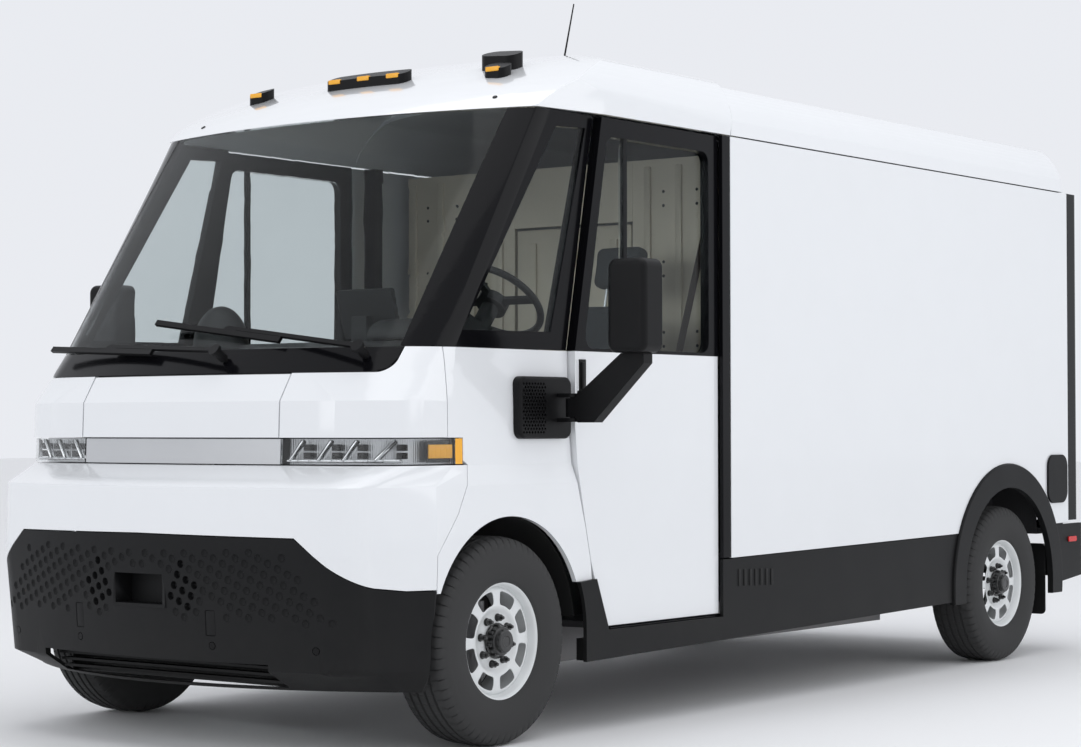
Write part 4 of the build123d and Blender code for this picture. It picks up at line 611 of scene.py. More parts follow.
def carve(piece: bpy.types.Object, cutters: Sequence[BMesh]) -> None:
    """Cuts shapes out of a piece's mesh, before its modifiers.

    Args:
        piece: what is cut.
        cutters: closed shapes; they are freed.
    """
    whole = bmesh.new()
    for cutter in cutters:
        bmesh.ops.recalc_face_normals(cutter, faces=cutter.faces[:])
        scratch = bpy.data.meshes.new("scratch")
        cutter.to_mesh(scratch)
        cutter.free()
        whole.from_mesh(scratch)
        bpy.data.meshes.remove(scratch)
    tool_mesh = bpy.data.meshes.new("cutter")
    whole.to_mesh(tool_mesh)
    whole.free()
    tool = bpy.data.objects.new("cutter", tool_mesh)
    bpy.context.scene.collection.objects.link(tool)
    others = {m: m.show_viewport for m in piece.modifiers}
    for modifier in others:
        modifier.show_viewport = False
    cut = piece.modifiers.new("cut", "BOOLEAN")
    cut.operation, cut.object, cut.solver = "DIFFERENCE", tool, "EXACT"
    graph = bpy.context.evaluated_depsgraph_get()
    result = bpy.data.meshes.new_from_object(piece.evaluated_get(graph), depsgraph=graph)
    piece.modifiers.remove(cut)
    for modifier, shown in others.items():
        modifier.show_viewport = shown
    old, kept = piece.data, piece.data.materials[0]
    piece.data = result
    result.name = old.name
    result.materials.clear()
    result.materials.append(kept)
    result.shade_smooth()
    result.set_sharp_from_angle(angle=math.radians(24))
    bpy.data.meshes.remove(old)
    bpy.data.objects.remove(tool)
    bpy.data.meshes.remove(tool_mesh)


# ---- sub-assemblies -----------------------------------------------------------------


@dataclass
class Shell:
    """Outer panels, glass and trim that keep the CAD model's own shapes."""

    panels: tuple[str, ...] = ("hood_panel", "front_fascia", "fenders", "cab_roof", "cargo_roof",
                               "cargo_sides", "door_left", "door_right", "rear_door_left",
                               "rear_door_right")
    gloss: tuple[str, ...] = ("windshield_frame", "door_jambs", "rear_portal")
    cladding: tuple[str, ...] = ("sill_covers", "rear_arch_flares", "rear_bumper", "charge_flap")
    plastic: tuple[str, ...] = ("roof_fittings", "wiper_left", "wiper_right")
    panes: tuple[str, ...] = ("windshield", "quarter_glass", "window_slider_left",
                              "window_slider_right")
    kept: tuple[tuple[str, Finish], ...] = (
        ("chassis_frame", CHASSIS), ("battery_pack", CASE), ("drive_unit", CAST),
        ("cab_floor", FLOOR_MAT), ("cargo_floor", FLOOR_MAT), ("knuckle_left", CAST),
        ("knuckle_right", CAST), ("wheel_liners", BLACK_PLASTIC_AND_SHADE), ("brake_pedal", DASH),
        ("accelerator_pedal", DASH))

    def build(self) -> None:
        """Makes the smooth copies and coats the nodes that stay."""
        for nodes, finish in ((self.panels, WHITE_PAINT), (self.gloss, BLACK_GLOSS),
                              (self.cladding, CLADDING), (self.plastic, BLACK_PLASTIC)):
            for node in nodes:
                skin(node, finish)
        for node in self.panes:
            skin(node, TINTED, bevel=0.0)
        skin("bulkhead", BULKHEAD)
        skin("dashboard", DASH)
        skin("steering_wheel", DASH, crease=40.0, bevel=0.0)
        skin("rear_lamps", RED)
        skin("nose_trim_bar", SATIN_BAR)
        for node, finish in self.kept:
            coat(node, finish)
        LOG.info("shell: %d panels", len(self.panels))


def islands(bm: BMesh) -> list[list[bmesh.types.BMFace]]:
    """The faces of each separate shell in a bmesh."""
    left, found = set(bm.faces), []
    while left:
        queue, shell = [left.pop()], []
        while queue:
            face = queue.pop()
            shell.append(face)
            near = {f for edge in face.edges for f in edge.link_faces} & left
            left -= near
            queue += near
        found.append(shell)
    return found


@dataclass
class DoorWindow:
    """Black upper frame and fixed glass of a cab door, which are one node."""

    side: str
    pane_limit: float = 0.008

    def half(self, node: str, thin: bool) -> BMesh:
        """A copy of the node with only its thin shells, or only its thick ones."""
        bm = merged(node)
        for shell in islands(bm):
            across = [v.co.x for face in shell for v in face.verts]
            if (max(across) - min(across) < self.pane_limit) != thin:
                bmesh.ops.delete(bm, geom=shell, context="FACES")
        return bm

    def build(self) -> None:
        """Makes the frame and the fixed pane."""
        node = "door_window_" + self.side
        frame_piece = put(self.half(node, False), "door_frame_" + self.side, body_of(node), BLACK_GLOSS,
                          crease=24.0, turned=False)
        put(self.half(node, True), "door_pane_" + self.side, body_of(node), TINTED, crease=24.0,
            turned=False)
        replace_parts(frame_piece, node)
        LOG.info("door window %s", self.side)


@dataclass
class Tyre:
    """A ribbed road tyre with slotted shoulders."""

    corner: str
    pitches: int = 60
    steps_per_pitch: int = 4
    shoulder: float = 0.058
    slot_depth: float = 0.007
    ribs: tuple[float, ...] = (-0.052, -0.018, 0.018, 0.052)

    def profile(self, half: float, radius: float, bead: float) -> list[tuple[float, float]]:
        """The tyre's section from bead to bead, on the outside.

        Args:
            half: half the tyre's width.
            radius: its outer radius.
            bead: radius at the rim.

        Returns:
            Points (along the axle, radius).
        """
        side = [(-half * 0.80, bead), (-half * 0.87, bead + 0.004), (-half * 0.885, bead + 0.010),
                (-half * 0.90, bead + 0.012), (-half * 0.915, bead + 0.018), (-half * 0.965, bead + 0.040),
                (-half * 0.993, bead + 0.062), (-half, bead + 0.080), (-half * 0.992, bead + 0.098),
                (-half * 0.985, bead + 0.104), (-half * 0.985, bead + 0.109), (-half * 0.96, bead + 0.122),
                (-half * 0.925, radius - 0.030), (-half * 0.90, radius - 0.021),
                (-half * 0.84, radius - 0.012), (-half * 0.76, radius - 0.006)]
        tread: list[tuple[float, float]] = []
        for rib in self.ribs:
            drop = 0.003 * (abs(rib) / half) ** 2
            top = radius - drop
            tread += [(rib - 0.006, top), (rib - 0.004, top - self.slot_depth),
                      (rib + 0.004, top - self.slot_depth), (rib + 0.006, top)]
        return side + tread + [(-x, r) for x, r in reversed(side)]

    def build(self) -> None:
        """Turns the section and cuts the slots and sipes."""
        node = "tyre_" + self.corner
        centre, half = middle(node)
        bm = turned_shape(self.profile(half.x, half.z, 0.2045), self.pitches * self.steps_per_pitch)
        step = math.tau / (self.pitches * self.steps_per_pitch)
        for vert in bm.verts:
            self.cut(vert, half, step)
        piece = put(placed(bm, Matrix.Translation(centre)), "tyre_tread_" + self.corner,
                    body_of(node), RUBBER, crease=28.0)
        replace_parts(piece, node)

    def cut(self, vert: BMVert, half: Vector, step: float) -> None:
        """Moves one vertex for the slots: blocks close up to them, and slots go in.

        Args:
            vert: a vertex of the turned tyre, round the origin.
            half: half the tyre's size.
            step: the angle between two steps.
        """
        radius = math.hypot(vert.co.y, vert.co.z)
        if radius < half.z - 0.032:
            return
        turn = math.atan2(vert.co.y, vert.co.z)
        phase = round(turn / step) % self.steps_per_pitch
        outer = abs(vert.co.x) > self.shoulder
        first = 0 if outer else 2
        if phase == first:
            radius -= self.slot_depth if outer and radius > half.z - 0.031 else 0.002
        elif phase in ((first + 1) % 4, (first - 1) % 4):
            turn += (-1 if phase == (first + 1) % 4 else 1) * step * 0.62
        vert.co.y, vert.co.z = radius * math.sin(turn), radius * math.cos(turn)


@dataclass
class Wheel:
    """White steel wheel with hand holes, and its black hub and nuts."""

    corner: str
    holes: int = 8
    rings: tuple[tuple[float, float], ...] = (
        (0.058, 0.064), (0.070, 0.060), (0.098, 0.058), (0.110, 0.066), (0.119, 0.071),
        (0.128, 0.073), (0.157, 0.073), (0.178, 0.070), (0.186, 0.067), (0.198, 0.058), (0.203, 0.040))
    open_rings: tuple[int, ...] = (5, 6)
    nuts: int = 8

    def disc(self) -> BMesh:
        """The pressed disc, with its hand holes left open."""
        steps = 6 * self.holes
        bm = turned_shape([(x, r) for r, x in self.rings], steps)
        gone = []
        for face in bm.faces:
            centre = face.calc_center_median()
            radius = math.hypot(centre.y, centre.z)
            sector = (math.atan2(centre.y, centre.z) / math.tau * steps) % 6
            low, high = self.rings[self.open_rings[0]][0], self.rings[self.open_rings[-1] + 1][0]
            if low < radius < high and 1 < sector < 5:
                gone.append(face)
        bmesh.ops.delete(bm, geom=gone, context="FACES")
        bmesh.ops.recalc_face_normals(bm, faces=bm.faces[:])
        bmesh.ops.solidify(bm, geom=bm.faces[:], thickness=0.005)
        return bm

    def barrel(self, half: float, flange: float) -> BMesh:
        """The rolled rim, as a closed ring."""
        return turned_shape([(-half, flange), (-half, flange - 0.004), (0.004 - half, 0.208),
                             (0.02 - half, 0.200), (-0.02, 0.190), (half - 0.03, 0.197),
                             (half - 0.010, 0.205), (half - 0.005, flange - 0.006),
                             (half - 0.002, flange - 0.001), (half, flange), (half + 0.001, flange - 0.002),
                             (half + 0.001, flange - 0.008), (half - 0.003, 0.203), (half - 0.012, 0.197),
                             (half - 0.03, 0.191), (-0.02, 0.185), (0.02 - half, 0.194)], 96, closed=True)

    def hub(self) -> list[BMesh]:
        """The hub's barrel and cap, and the ring of nuts."""
        parts = [
            turned_shape([(0.030, 0.0), (0.030, 0.056), (0.066, 0.057), (0.068, 0.064), (0.073, 0.064),
                          (0.075, 0.056), (0.096, 0.052), (0.099, 0.049), (0.100, 0.042),
                          (0.112, 0.041), (0.116, 0.037), (0.117, 0.020), (0.114, 0.017),
                          (0.114, 0.0)], 40)]
        for index in range(self.nuts):
            angle = math.tau * index / self.nuts + 0.2
            spot = Vector((0.060, 0.083 * math.sin(angle), 0.083 * math.cos(angle)))
            matrix = facing(spot, Vector((1, 0, 0)))
            parts += [placed(prism(6, 0.0125, 0.0, 0.020, 0.012), matrix),
                      placed(prism(14, 0.0145, -0.001, 0.004), matrix),
                      placed(prism(10, 0.0065, 0.018, 0.030, 0.006), matrix)]
            lug = Vector((0.070, 0.055 * math.sin(angle + 0.39), 0.055 * math.cos(angle + 0.39)))
            parts.append(placed(rounded_box((-0.005, -0.007, 0), (0.005, 0.007, 0.022), 0.002, 2),
                                facing(lug, Vector((1, 0, 0)))))
        return parts

    def build(self) -> None:
        """Makes the wheel's pieces and stands them in for its node."""
        node = "wheel_" + self.corner
        centre, half = middle("tyre_" + self.corner)
        low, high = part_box(node)
        flange = (high.z - low.z) / 2
        side = 1 if centre.x > 0 else -1
        place = Matrix.Translation(centre) @ Matrix.Diagonal((side, 1, 1, 1))
        body = body_of(node)
        disc = lump("wheel_disc_" + self.corner, body, WHEEL_WHITE, [placed(self.disc(), place)], rounds=2)
        lump("wheel_rim_" + self.corner, body, WHEEL_WHITE,
             [placed(self.barrel(half.x * 0.86, flange), place)], crease=50.0)
        lump("wheel_hub_" + self.corner, body, HUB_BLACK,
             [placed(part, place) for part in self.hub()], crease=32.0, bevel=0.0008)
        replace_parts(disc, node)
        LOG.info("wheel %s", self.corner)


@dataclass
class BumperCover:
    """Moulded lower front: staggered dimples, pocket, sensors and covers."""

    pitch: float = 0.0415
    lean: float = math.radians(25)
    dimple_top: float = 0.704
    dimple_low: float = 0.466
    pocket: tuple[float, float, float] = (0.118, 0.512, 0.618)
    sensors: tuple[tuple[float, float], ...] = ((0.332, 0.378), (0.748, 0.376))
    covers: tuple[float, float, float, float] = (0.328, 0.456, 0.022, 0.045)
    cutters: list[BMesh] = field(default_factory=list)

    def spots(self) -> list[tuple[float, float]]:
        """Places (x, z) of the dimples on the +X half."""
        across = (self.pitch * math.cos(self.lean), -self.pitch * math.sin(self.lean))
        down = (-self.pitch * math.sin(self.lean), -self.pitch * math.cos(self.lean))
        found = []
        for i in range(-8, 30):
            for j in range(-14, 14):
                x = 0.040 + i * across[0] + j * down[0]
                z = 0.690 + i * across[1] + j * down[1]
                beyond = 0.64 + (self.dimple_top - z) * 0.72
                in_pocket = x < self.pocket[0] + 0.018 and self.pocket[1] - 0.018 < z < self.pocket[2] + 0.018
                below = x < self.pocket[0] + 0.03 and z < self.pocket[2]
                by_cover = abs(x - self.covers[0]) < self.covers[2] + 0.02 and z < 0.521
                if 0.012 < x < beyond and self.dimple_low < z < self.dimple_top and not (
                        in_pocket or below or by_cover):
                    found.append((x, z))
        return found

    def is_open(self, x: float, z: float) -> bool:
        """Whether a dimple is one of the deep ones beside the pocket."""
        return abs(x - 0.20) / 0.085 + abs(z - 0.575) / 0.085 < 1.15

    def dimple(self, deep: bool) -> BMesh:
        """A cutter for one dimple, with Z outwards."""
        bottom, floor = (-0.017, 0.0125) if deep else (-0.0055, 0.0108)
        profile = [(bottom, 0.0), (bottom, floor), (-0.0012, 0.0138), (0.0035, 0.0192), (0.0035, 0.0)]
        return placed(turned_shape(profile, 12), Matrix.Rotation(-math.pi / 2, 4, "Y"))

    def build(self) -> None:
        """Copies the cover, cuts its holes, adds the fitted parts and a sheet of painted shade behind the
        lower slot.
        """
        probe = Probe("bumper_cover")
        cover = skin("bumper_cover", CLADDING, bevel=0.0)
        sensors, plates = [], []
        for side in SIDES:
            for x, z in self.spots():
                found = probe.hit((side * x, -4, z), (0, 1, 0))
                if found:
                    self.cutters.append(placed(self.dimple(self.is_open(x, z)), facing(*found)))
            for x, z in self.sensors:
                found = probe.hit((side * x, -4, z), (0, 1, 0))
                if found:
                    self.cutters.append(placed(prism(24, 0.0145, -0.004, 0.004), facing(*found)))
                    sensors.append(placed(prism(24, 0.0125, -0.004, 0.0005, 0.0118), facing(*found)))
            x, z, wide, tall = self.covers
            found = probe.hit((side * x, -4, z), (0, 1, 0))
            if found:
                matrix = facing(*found)
                self.cutters.append(placed(rounded_box((-wide, -tall, -0.005), (wide, tall, 0.006), 0.006),
                                           matrix))
                plates.append(placed(rounded_box((0.0015 - wide, 0.0015 - tall, -0.006),
                                                 (wide - 0.0015, tall - 0.0015, -0.0012), 0.004), matrix))
        carve(cover, self.cutters)
        lump("parking_sensors", ROOT, BLACK_PLASTIC, sensors)
        lump("bumper_blank_plates", ROOT, CLADDING, plates)
        # A flat near-black sheet behind the lower slot: painted shade for the dark inside of the opening.
        lump("lower_slot_painted_shade", ROOT, BLACK_PLASTIC_AND_SHADE,
             [rounded_box((-0.57, -2.60, 0.232), (0.57, -2.585, 0.36), 0.004)])
        LOG.info("bumper: %d recesses", 2 * len(self.spots()))


@dataclass
class MirrorBase:
    """Mirror foot with its pierced front half."""

    rows: int = 15
    pitch: float = 0.0125

    def build(self) -> None:
        """Copies both feet and pierces them."""
        probe = Probe("mirror_bases")
        piece = skin("mirror_bases", BLACK_PLASTIC, bevel=0.0)
        low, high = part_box("mirror_bases")
        cutters = []
        for side in SIDES:
            for row in range(self.rows):
                for column in range(8):
                    z = low.z + 0.024 + row * self.pitch
                    y = low.y + 0.020 + (column + 0.5 * (row % 2)) * self.pitch * 1.35
                    found = probe.hit((side * 2, y, z), (-side, 0, 0))
                    if found and abs(found[0].x) > 0.5:
                        cutters.append(placed(prism(4, 0.0062, -0.006, 0.003), facing(*found)))
        carve(piece, cutters)
        for name in ("left", "right"):
            skin("mirror_arm_" + name, BLACK_PLASTIC, crease=30.0, bevel=0.0)
            skin("mirror_glass_" + name, MIRROR, bevel=0.0)
        LOG.info("mirror feet: %d holes", len(cutters))


@dataclass
class Lamps:
    """Headlamps, turn lamps and roof markers."""

    rib_spots: tuple[float, ...] = (0.524, 0.636, 0.734, 0.848)
    markers: tuple[tuple[float, float], ...] = ((-0.615, 0.45), (-0.15, 0.412), (0.0, 0.412),
                                                (0.15, 0.412), (0.615, 0.45))
    corner_spots: tuple[float, ...] = (-2.352, -2.325, -2.30, -2.27, -2.24)
    fasteners: tuple[tuple[float, float], ...] = ((-0.755, 0.253), (0.755, 0.253))
    lean: float = 0.055

    def build(self) -> None:
        """Makes the covers, the cells behind them and the small lamps."""
        skin("headlamp_lenses", LAMP_GLASS, bevel=0.0)
        skin("amber_lenses", AMBER, bevel=0.0)
        skin("headlamp_housings", LAMP_GREY, bevel=0.0)
        probe = Probe("headlamp_lenses")
        low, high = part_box("headlamp_lenses")
        for side in SIDES:
            ribs, modules = [], []
            for number, start in enumerate(self.rib_spots):
                ends = []
                for z, x in ((low.z + 0.012, start), (high.z - 0.006, start + self.lean)):
                    found = probe.hit((side * x, -4, z), (0, 1, 0))
                    if found:
                        ends.append(found[0] + Vector((0, 0.014, 0)))
                if len(ends) == 2:
                    ribs.append(self.bar(ends[0], ends[1], 0.011))
                spot = probe.hit((side * (start + 0.062), -4, (low.z + high.z) / 2), (0, 1, 0))
                if spot:
                    for rise in (-0.014, 0.014):
                        centre = spot[0] + Vector((0, 0.03, rise))
                        modules.append(rounded_box(centre - Vector((0.016, 0.012, 0.011)),
                                                   centre + Vector((0.016, 0.012, 0.011)), 0.003))
            rail = [probe.hit((side * (0.51 + 0.045 * step), -4, low.z + 0.012), (0, 1, 0))
                    for step in range(10)]
            rail = [spot[0] + Vector((0, 0.016, 0)) for spot in rail if spot]
            ribs += [self.bar(start, end, 0.007) for start, end in zip(rail, rail[1:])]
            lump("headlamp_ribs_" + ("left" if side > 0 else "right"), ROOT, CHROME, ribs)
            lump("headlamp_modules_" + ("left" if side > 0 else "right"), ROOT, LAMP_DARK, modules)
        self.turn_lamps(probe, low, high)
        self.roof_lamps()
        LOG.info("lamps")

    def turn_lamps(self, probe: Probe, low: Vector, high: Vector) -> None:
        """Sets an amber block and its dark surround behind the corner of each cover.

        Args:
            probe: finds places on the covers.
            low: the covers' lowest corner.
            high: their highest corner.
        """
        ambers, surrounds = [], []
        for side in SIDES:
            spots = [probe.hit((side * 2, y, (low.z + high.z) / 2), (-side, 0, 0)) for y in self.corner_spots]
            spots = [spot[0] - Vector((side * 0.011, 0, 0)) for spot in spots if spot]
            for start, end in zip(spots, spots[1:]):
                ambers.append(self.plank(start, end, 0.024, 0.006))
                surrounds.append(self.plank(start - Vector((side * 0.008, 0, 0)),
                                            end - Vector((side * 0.008, 0, 0)), 0.038, 0.004))
        lump("turn_lamp_blocks", ROOT, AMBER, ambers)
        lump("turn_lamp_surrounds", ROOT, LAMP_DARK, surrounds)

    @staticmethod
    def plank(start: Vector, end: Vector, half_height: float, thickness: float) -> BMesh:
        """A level upright plank between two points."""
        run = end - start
        low = (-0.002, -thickness / 2, -half_height)
        bm = rounded_box(low, (run.length + 0.002, thickness / 2, half_height), 0.0025, 2)
        return placed(bm, Matrix.Translation(start) @ Matrix.Rotation(math.atan2(run.y, run.x), 4, "Z"))

    def roof_lamps(self) -> None:
        """Sets the amber lenses in their roof housings, and the roof's fasteners."""
        probe = Probe("roof_fittings")
        lenses = []
        for x, behind in self.markers:
            top = probe.hit((x, FRONT_AXLE + behind, 4), (0, 0, -1))
            if top:
                front = probe.hit((x, -4, top[0].z - 0.019), (0, 1, 0))
                if front:
                    spot = front[0]
                    lenses.append(rounded_box(spot - Vector((0.03, 0.004, 0.008)),
                                              spot + Vector((0.03, 0.012, 0.010)), 0.003))
        lump("roof_marker_lenses", ROOT, AMBER, lenses)
        roof = Probe("cab_roof")
        heads = []
        for x, behind in self.fasteners:
            found = roof.hit((x, FRONT_AXLE + behind, 4), (0, 0, -1))
            if found:
                heads.append(placed(prism(20, 0.011, -0.003, 0.003, 0.009), facing(*found)))
        lump("roof_fasteners", ROOT, BLACK_PLASTIC, heads)

    @staticmethod
    def bar(start: Vector, end: Vector, width: float) -> BMesh:
        """A thin rounded bar between two points."""
        bm = rounded_box((-width / 2, -width, 0), (width / 2, width, (end - start).length), width * 0.4, 2)
        turn = Vector((0, 0, 1)).rotation_difference(end - start).to_matrix().to_4x4()
        return placed(bm, Matrix.Translation(start) @ turn)


def cushion(bm: BMesh, name: str, body: str, *, voxel: float = 0.007,
            cap: float = 0.012) -> bpy.types.Object:
    """Swells a shape into a cushion of cloth.

    Args:
        bm: the shape, a little smaller than the cushion; it is freed.
        name: the cushion's name.
        body: the body it rides on.
        voxel: size of the cloth's squares.
        cap: the furthest that the cloth may move.

    Returns:
        The cushion.
    """
    mesh = bpy.data.meshes.new("pad_source")
    bm.to_mesh(mesh)
    bm.free()
    thing = bpy.data.objects.new("pad_source", mesh)
    bpy.context.scene.collection.objects.link(thing)
    squares = thing.modifiers.new("squares", "REMESH")
    squares.mode, squares.voxel_size = "VOXEL", voxel
    graph = bpy.context.evaluated_depsgraph_get()
    thing.data = bpy.data.meshes.new_from_object(thing.evaluated_get(graph), depsgraph=graph)
    thing.modifiers.remove(squares)
    cloth = thing.modifiers.new("cloth", "CLOTH")
    cloth.settings.use_pressure = True
    cloth.settings.uniform_pressure_force = 4.0
    cloth.settings.effector_weights.gravity = 0.0
    for step in range(1, 21):
        bpy.context.scene.frame_set(step)
    graph = bpy.context.evaluated_depsgraph_get()
    swollen = bpy.data.meshes.new_from_object(thing.evaluated_get(graph), depsgraph=graph)
    for still, moved in zip(thing.data.vertices, swollen.vertices):
        step = moved.co - still.co
        moved.co = still.co + step * min(1.0, cap / max(step.length, 1e-9))
    result = bmesh.new()
    result.from_mesh(swollen)
    bpy.data.objects.remove(thing)
    bpy.data.meshes.remove(swollen)
    bpy.context.scene.frame_set(1)
    return put(result, name, body, SEAT_CLOTH, rounds=1)


@dataclass
class Seat:
    """Driver's seat: padded cushion, back and headrest on their metal parts, and its belt."""

    centre_x: float = 0.45
    plate_top: float = 0.9685
    hinge: tuple[float, float] = (-0.678, 1.02)
    back_foot: Vector = Vector((0.45, -0.652, 1.03))
    back_lean: float = math.atan2(0.2, 1.0)
    belt: tuple[tuple[float, float], ...] = ((-0.236, 2.06), (-0.60, 1.12), (-0.60, 0.624))
    belt_x: float = 0.725
    shrink: float = 0.009

    def frame_piece(self) -> bpy.types.Object:
        """The metal under the cushion, with the covers over the back's hinge."""
        bm = merged("seat_base")
        everything = bm.verts[:] + bm.edges[:] + bm.faces[:]
        cut = bmesh.ops.bisect_plane(bm, geom=everything, plane_co=(0, 0, self.plate_top), plane_no=(0, 0, 1),
                                     clear_outer=True)
        rim = [item for item in cut["geom_cut"] if isinstance(item, bmesh.types.BMEdge)]
        bmesh.ops.holes_fill(bm, edges=rim, sides=0)
        parts = [bm]
        for side in SIDES:
            edge = self.centre_x + side * 0.2265
            middle_point = Vector((edge, *self.hinge))
            shape = turned_shape([(-0.0065, 0.0), (-0.0065, 0.040), (-0.004, 0.044), (0.004, 0.044),
                                  (0.0065, 0.040), (0.0065, 0.0)], 32)
            parts.append(placed(shape, Matrix.Translation(middle_point)))
            parts.append(rounded_box((edge - 0.005, -0.90, 0.957), (edge + 0.005, -0.66, 1.005), 0.004))
        return lump("seat_frame", "seat_base", DASH, parts, crease=40.0)

    def upright(self) -> Matrix:
        """The back's own frame: Z up along it and Y backwards through it."""
        return Matrix.Translation(self.back_foot) @ Matrix.Rotation(-self.back_lean, 4, "X")

    def webbing(self) -> None:
        """The belt's straps, hanging beside the seat."""
        straps = []
        for (y1, z1), (y2, z2) in zip(self.belt, self.belt[1:]):
            start, end = Vector((self.belt_x, y1, z1)), Vector((self.belt_x, y2, z2))
            bm = rounded_box((-0.0012, -0.0235, 0), (0.0012, 0.0235, (end - start).length), 0.0008, 1)
            turn = Vector((0, 0, 1)).rotation_difference(end - start).to_matrix().to_4x4()
            straps.append(placed(bm, Matrix.Translation(start) @ turn))
        lump("belt_webbing_piece", ROOT, WEBBING, straps, crease=40.0)
        foot = Vector((self.belt_x, *self.belt[-1]))
        top = Vector((self.belt_x, *self.belt[0]))
        lump("belt_anchors", ROOT, BLACK_PLASTIC,
             [rounded_box(foot - Vector((0.03, 0.045, 0.002)), foot + Vector((0.03, 0.045, 0.11)), 0.008),
              rounded_box(top - Vector((0.035, 0.012, 0.03)), top + Vector((0.035, 0.012, 0.03)), 0.008)])

    def build(self) -> None:
        """Makes the seat's pieces."""
        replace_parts(self.frame_piece(), "seat_base")
        edge = self.shrink
        cushion(rounded_box((self.centre_x - 0.235 + edge, -1.18 + edge, 0.9715 + edge * 0.5),
                            (self.centre_x + 0.235 - edge, -0.722 - edge, 1.081 - edge), 0.03, 5),
                "seat_cushion", "seat_base")
        lean = self.upright()
        back = cushion(placed(rounded_box((-0.225 + edge, -0.055 + edge, 0.034 + edge),
                                          (0.225 - edge, 0.055 - edge, 0.63 - edge), 0.035, 5), lean),
                       "seat_backrest", "seat_back")
        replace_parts(back, "seat_back")
        cushion(placed(rounded_box((-0.125 + edge, -0.05 + edge, 0.68 + edge),
                                   (0.125 - edge, 0.05 - edge, 0.87 - edge), 0.03, 5), lean),
                "seat_headrest", "seat_back")
        rods = [placed(prism(16, 0.0065, 0.61, 0.72), lean @ Matrix.Translation((side * 0.06, 0, 0)))
                for side in SIDES]
        lump("headrest_rods", "seat_back", CHROME, rods)
        self.webbing()
        LOG.info("seat")


@dataclass
class Cab:
    """The bulkhead's ribs, its holes as discs of painted shade, and its door leaf, the dash dome, the doors'
    pulls and the sill louvres.
    """

    rib_spots: tuple[float, ...] = (0.40, 0.56, 0.74, 0.90)
    hole_heights: tuple[float, ...] = (0.9, 1.2, 1.5, 1.8, 2.1)
    dome: Vector = Vector((-0.53, -1.86, 1.44))
    handle: tuple[float, float] = (-1.528, 1.318)
    vent_start: tuple[float, float] = (-0.482, 0.522)
    vent_step: tuple[float, float] = (0.041, -0.0015)
    louvres: int = 7

    def build(self) -> None:
        """Makes the pieces."""
        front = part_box("bulkhead")[0].y
        ribs, holes = [], []
        for side in SIDES:
            for x in self.rib_spots:
                ribs.append(rounded_box((side * x - 0.016, front - 0.009, 0.66),
                                        (side * x + 0.016, front + 0.002, 2.24), 0.004))
            # The holes are flat near-black discs laid on the sheet: painted shade where the holes are, not
            # openings.
            for x, following in zip(self.rib_spots, self.rib_spots[1:]):
                for z in self.hole_heights:
                    spot = Vector((side * (x + following) / 2, front, z))
                    for rise in (-0.03, 0.03):
                        holes.append(placed(prism(16, 0.007, -0.001, 0.0006),
                                            facing(spot + Vector((0, 0, rise)), Vector((0, -1, 0)))))
        lump("bulkhead_ribs", ROOT, BULKHEAD, ribs)
        lump("bulkhead_hole_shade", ROOT, BLACK_PLASTIC_AND_SHADE, holes)
        bm = bmesh.new()
        bmesh.ops.create_uvsphere(bm, u_segments=40, v_segments=20, radius=1.0)
        lump("dash_dome", ROOT, DASH, [placed(bm, Matrix.Translation(self.dome)
                                              @ Matrix.Diagonal((0.118, 0.105, 0.17, 1)))])
        leaf = [rounded_box((-0.31, front + 0.004, 0.635), (0.31, front + 0.016, 2.0), 0.006)]
        leaf += [rounded_box((x - 0.02, front - 0.004, 0.70), (x + 0.02, front + 0.006, 1.94), 0.004)
                 for x in (-0.22, 0.0, 0.22)]
        lump("bulkhead_door_leaf", ROOT, BULKHEAD, leaf)
        lump("bulkhead_door_pull", ROOT, BLACK_PLASTIC,
             [rounded_box((-0.29, front - 0.035, 1.30), (-0.265, front - 0.012, 1.52), 0.008),
              rounded_box((-0.287, front - 0.02, 1.315), (-0.268, front + 0.006, 1.335), 0.004),
              rounded_box((-0.287, front - 0.02, 1.485), (-0.268, front + 0.006, 1.505), 0.004)])
        self.outside()
        LOG.info("cab")

    def outside(self) -> None:
        """The cab doors' pulls and the louvres in the sill covers."""
        y, z = self.handle
        for side, name in zip(SIDES, ("left", "right")):
            outer = max(abs(v) for v in (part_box("door_" + name)[0].x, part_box("door_" + name)[1].x)) - 0.003
            pull = [(0.0, -0.022, -0.062, 0.006, 0.022, 0.062), (0.004, -0.014, -0.052, 0.014, 0.004, 0.052)]
            lump("door_pull_" + name, "door_" + name, BLACK_PLASTIC,
                 [placed(rounded_box((outer + x1, y + y1, z + z1), (outer + x2, y + y2, z + z2), 0.005, 3),
                         Matrix.Diagonal((side, 1, 1, 1))) for x1, y1, z1, x2, y2, z2 in pull])
        probe = Probe("sill_covers")
        slats, half = [], Vector((0.009, 0.034, 0.0))
        for side in SIDES:
            for number in range(self.louvres):
                y, z = (start + step * number for start, step in zip(self.vent_start, self.vent_step))
                found = probe.hit((side * 2, y, z), (-side, 0, 0))
                if found:
                    slat = rounded_box(-half - Vector((0, 0, 0.002)), half + Vector((0, 0, 0.004)), 0.0035, 2)
                    slats.append(placed(slat, facing(*found)))
        lump("sill_louvres", ROOT, BLACK_PLASTIC_AND_SHADE, slats)


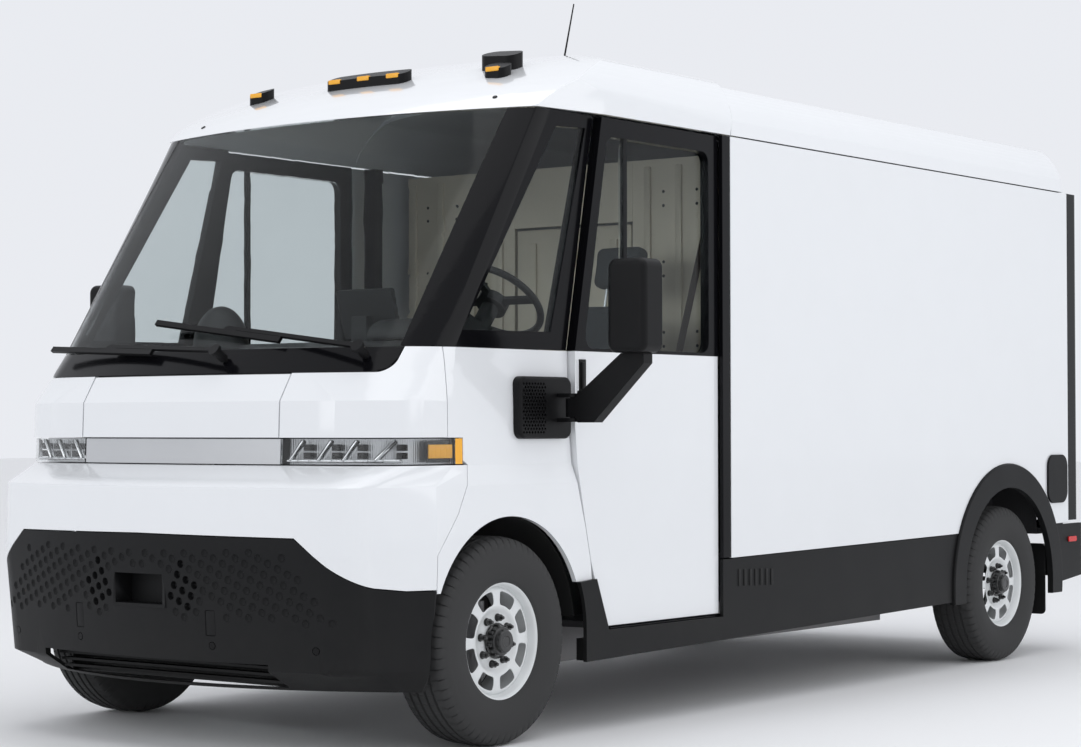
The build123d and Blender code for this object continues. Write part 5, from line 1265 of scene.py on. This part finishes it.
@dataclass
class Studio:
    """Floor, lights and camera."""

    spot: Vector = Vector((6.3396, -8.8406, 1.1377))
    yaw: float = math.radians(37.1095)
    pitch: float = math.radians(1.2020)
    roll: float = math.radians(-0.1006)
    lens: float = 81.55

    def camera(self) -> None:
        """Stands the camera in front of the truck's +X corner, low and far."""
        ahead = Vector((-math.sin(self.yaw) * math.cos(self.pitch),
                        math.cos(self.yaw) * math.cos(self.pitch), math.sin(self.pitch)))
        right = Vector((math.cos(self.yaw), math.sin(self.yaw), 0))
        up = right.cross(ahead)
        level = right * math.cos(self.roll) + up * math.sin(self.roll)
        upright = up * math.cos(self.roll) - right * math.sin(self.roll)
        data = bpy.data.cameras.new("camera")
        data.lens, data.sensor_width, data.clip_end = self.lens, 36.0, 200.0
        eye = bpy.data.objects.new("camera", data)
        eye.matrix_world = Matrix.Translation(self.spot) @ Matrix(
            (level, upright, -ahead)).transposed().to_4x4()
        bpy.context.scene.collection.objects.link(eye)
        bpy.context.scene.camera = eye

    def lamp(self, name: str, spot: Sequence[float], aim: Sequence[float], size: tuple[float, float],
             power: float) -> None:
        """Adds one soft box.

        Args:
            name: the lamp's name.
            spot: where it stands.
            aim: the point it faces.
            size: its width and height.
            power: its power in watts.
        """
        data = bpy.data.lights.new(name, "AREA")
        data.shape, data.size, data.size_y, data.energy = "RECTANGLE", *size, power
        lamp = bpy.data.objects.new(name, data)
        lamp.location = spot
        lamp.rotation_mode = "QUATERNION"
        lamp.rotation_quaternion = (Vector(aim) - Vector(spot)).to_track_quat("-Z", "Y")
        bpy.context.scene.collection.objects.link(lamp)

    def floor(self) -> None:
        """Lays the pale floor."""
        bm = bmesh.new()
        bmesh.ops.create_grid(bm, x_segments=1, y_segments=1, size=60)
        mesh = bpy.data.meshes.new("studio_floor")
        bm.to_mesh(mesh)
        bm.free()
        made = bpy.data.materials.new("studio_floor_paint")
        made.use_nodes = True
        shader = made.node_tree.nodes["Principled BSDF"]
        shader.inputs["Base Color"].default_value = (0.86, 0.86, 0.86, 1)
        shader.inputs["Roughness"].default_value = 0.7
        mesh.materials.append(made)
        ground = bpy.data.objects.new("studio_floor", mesh)
        bpy.context.scene.collection.objects.link(ground)

    def build(self) -> None:
        """Sets up the floor, the sky, the lamps and the camera."""
        self.floor()
        world = bpy.data.worlds.new("studio")
        world.use_nodes = True
        world.node_tree.nodes["Background"].inputs["Color"].default_value = (0.93, 0.95, 1.0, 1)
        world.node_tree.nodes["Background"].inputs["Strength"].default_value = 0.88
        bpy.context.scene.world = world
        self.lamp("overhead_box", (1.0, -1.0, 7.5), (0, 0, 1), (7, 9), 150)
        self.lamp("side_box", (8.5, 1.5, 4.2), (0, 0.3, 1.2), (8, 4), 85)
        self.lamp("front_box", (-2.5, -10.5, 4.5), (0, -2, 1.2), (6, 4), 70)
        bpy.context.scene.view_settings.view_transform = "Standard"
        self.camera()


def main() -> None:
    """Builds the whole truck, piece by piece."""
    logging.basicConfig(level=logging.INFO, format="%(message)s")
    Studio().build()
    Shell().build()
    for side in ("left", "right"):
        DoorWindow(side).build()
    for end in ("front", "rear"):
        for side in ("left", "right"):
            Tyre(f"{end}_{side}").build()
            Wheel(f"{end}_{side}").build()
    BumperCover().build()
    MirrorBase().build()
    Lamps().build()
    Seat().build()
    Cab().build()


if __name__ == "__main__":
    main()
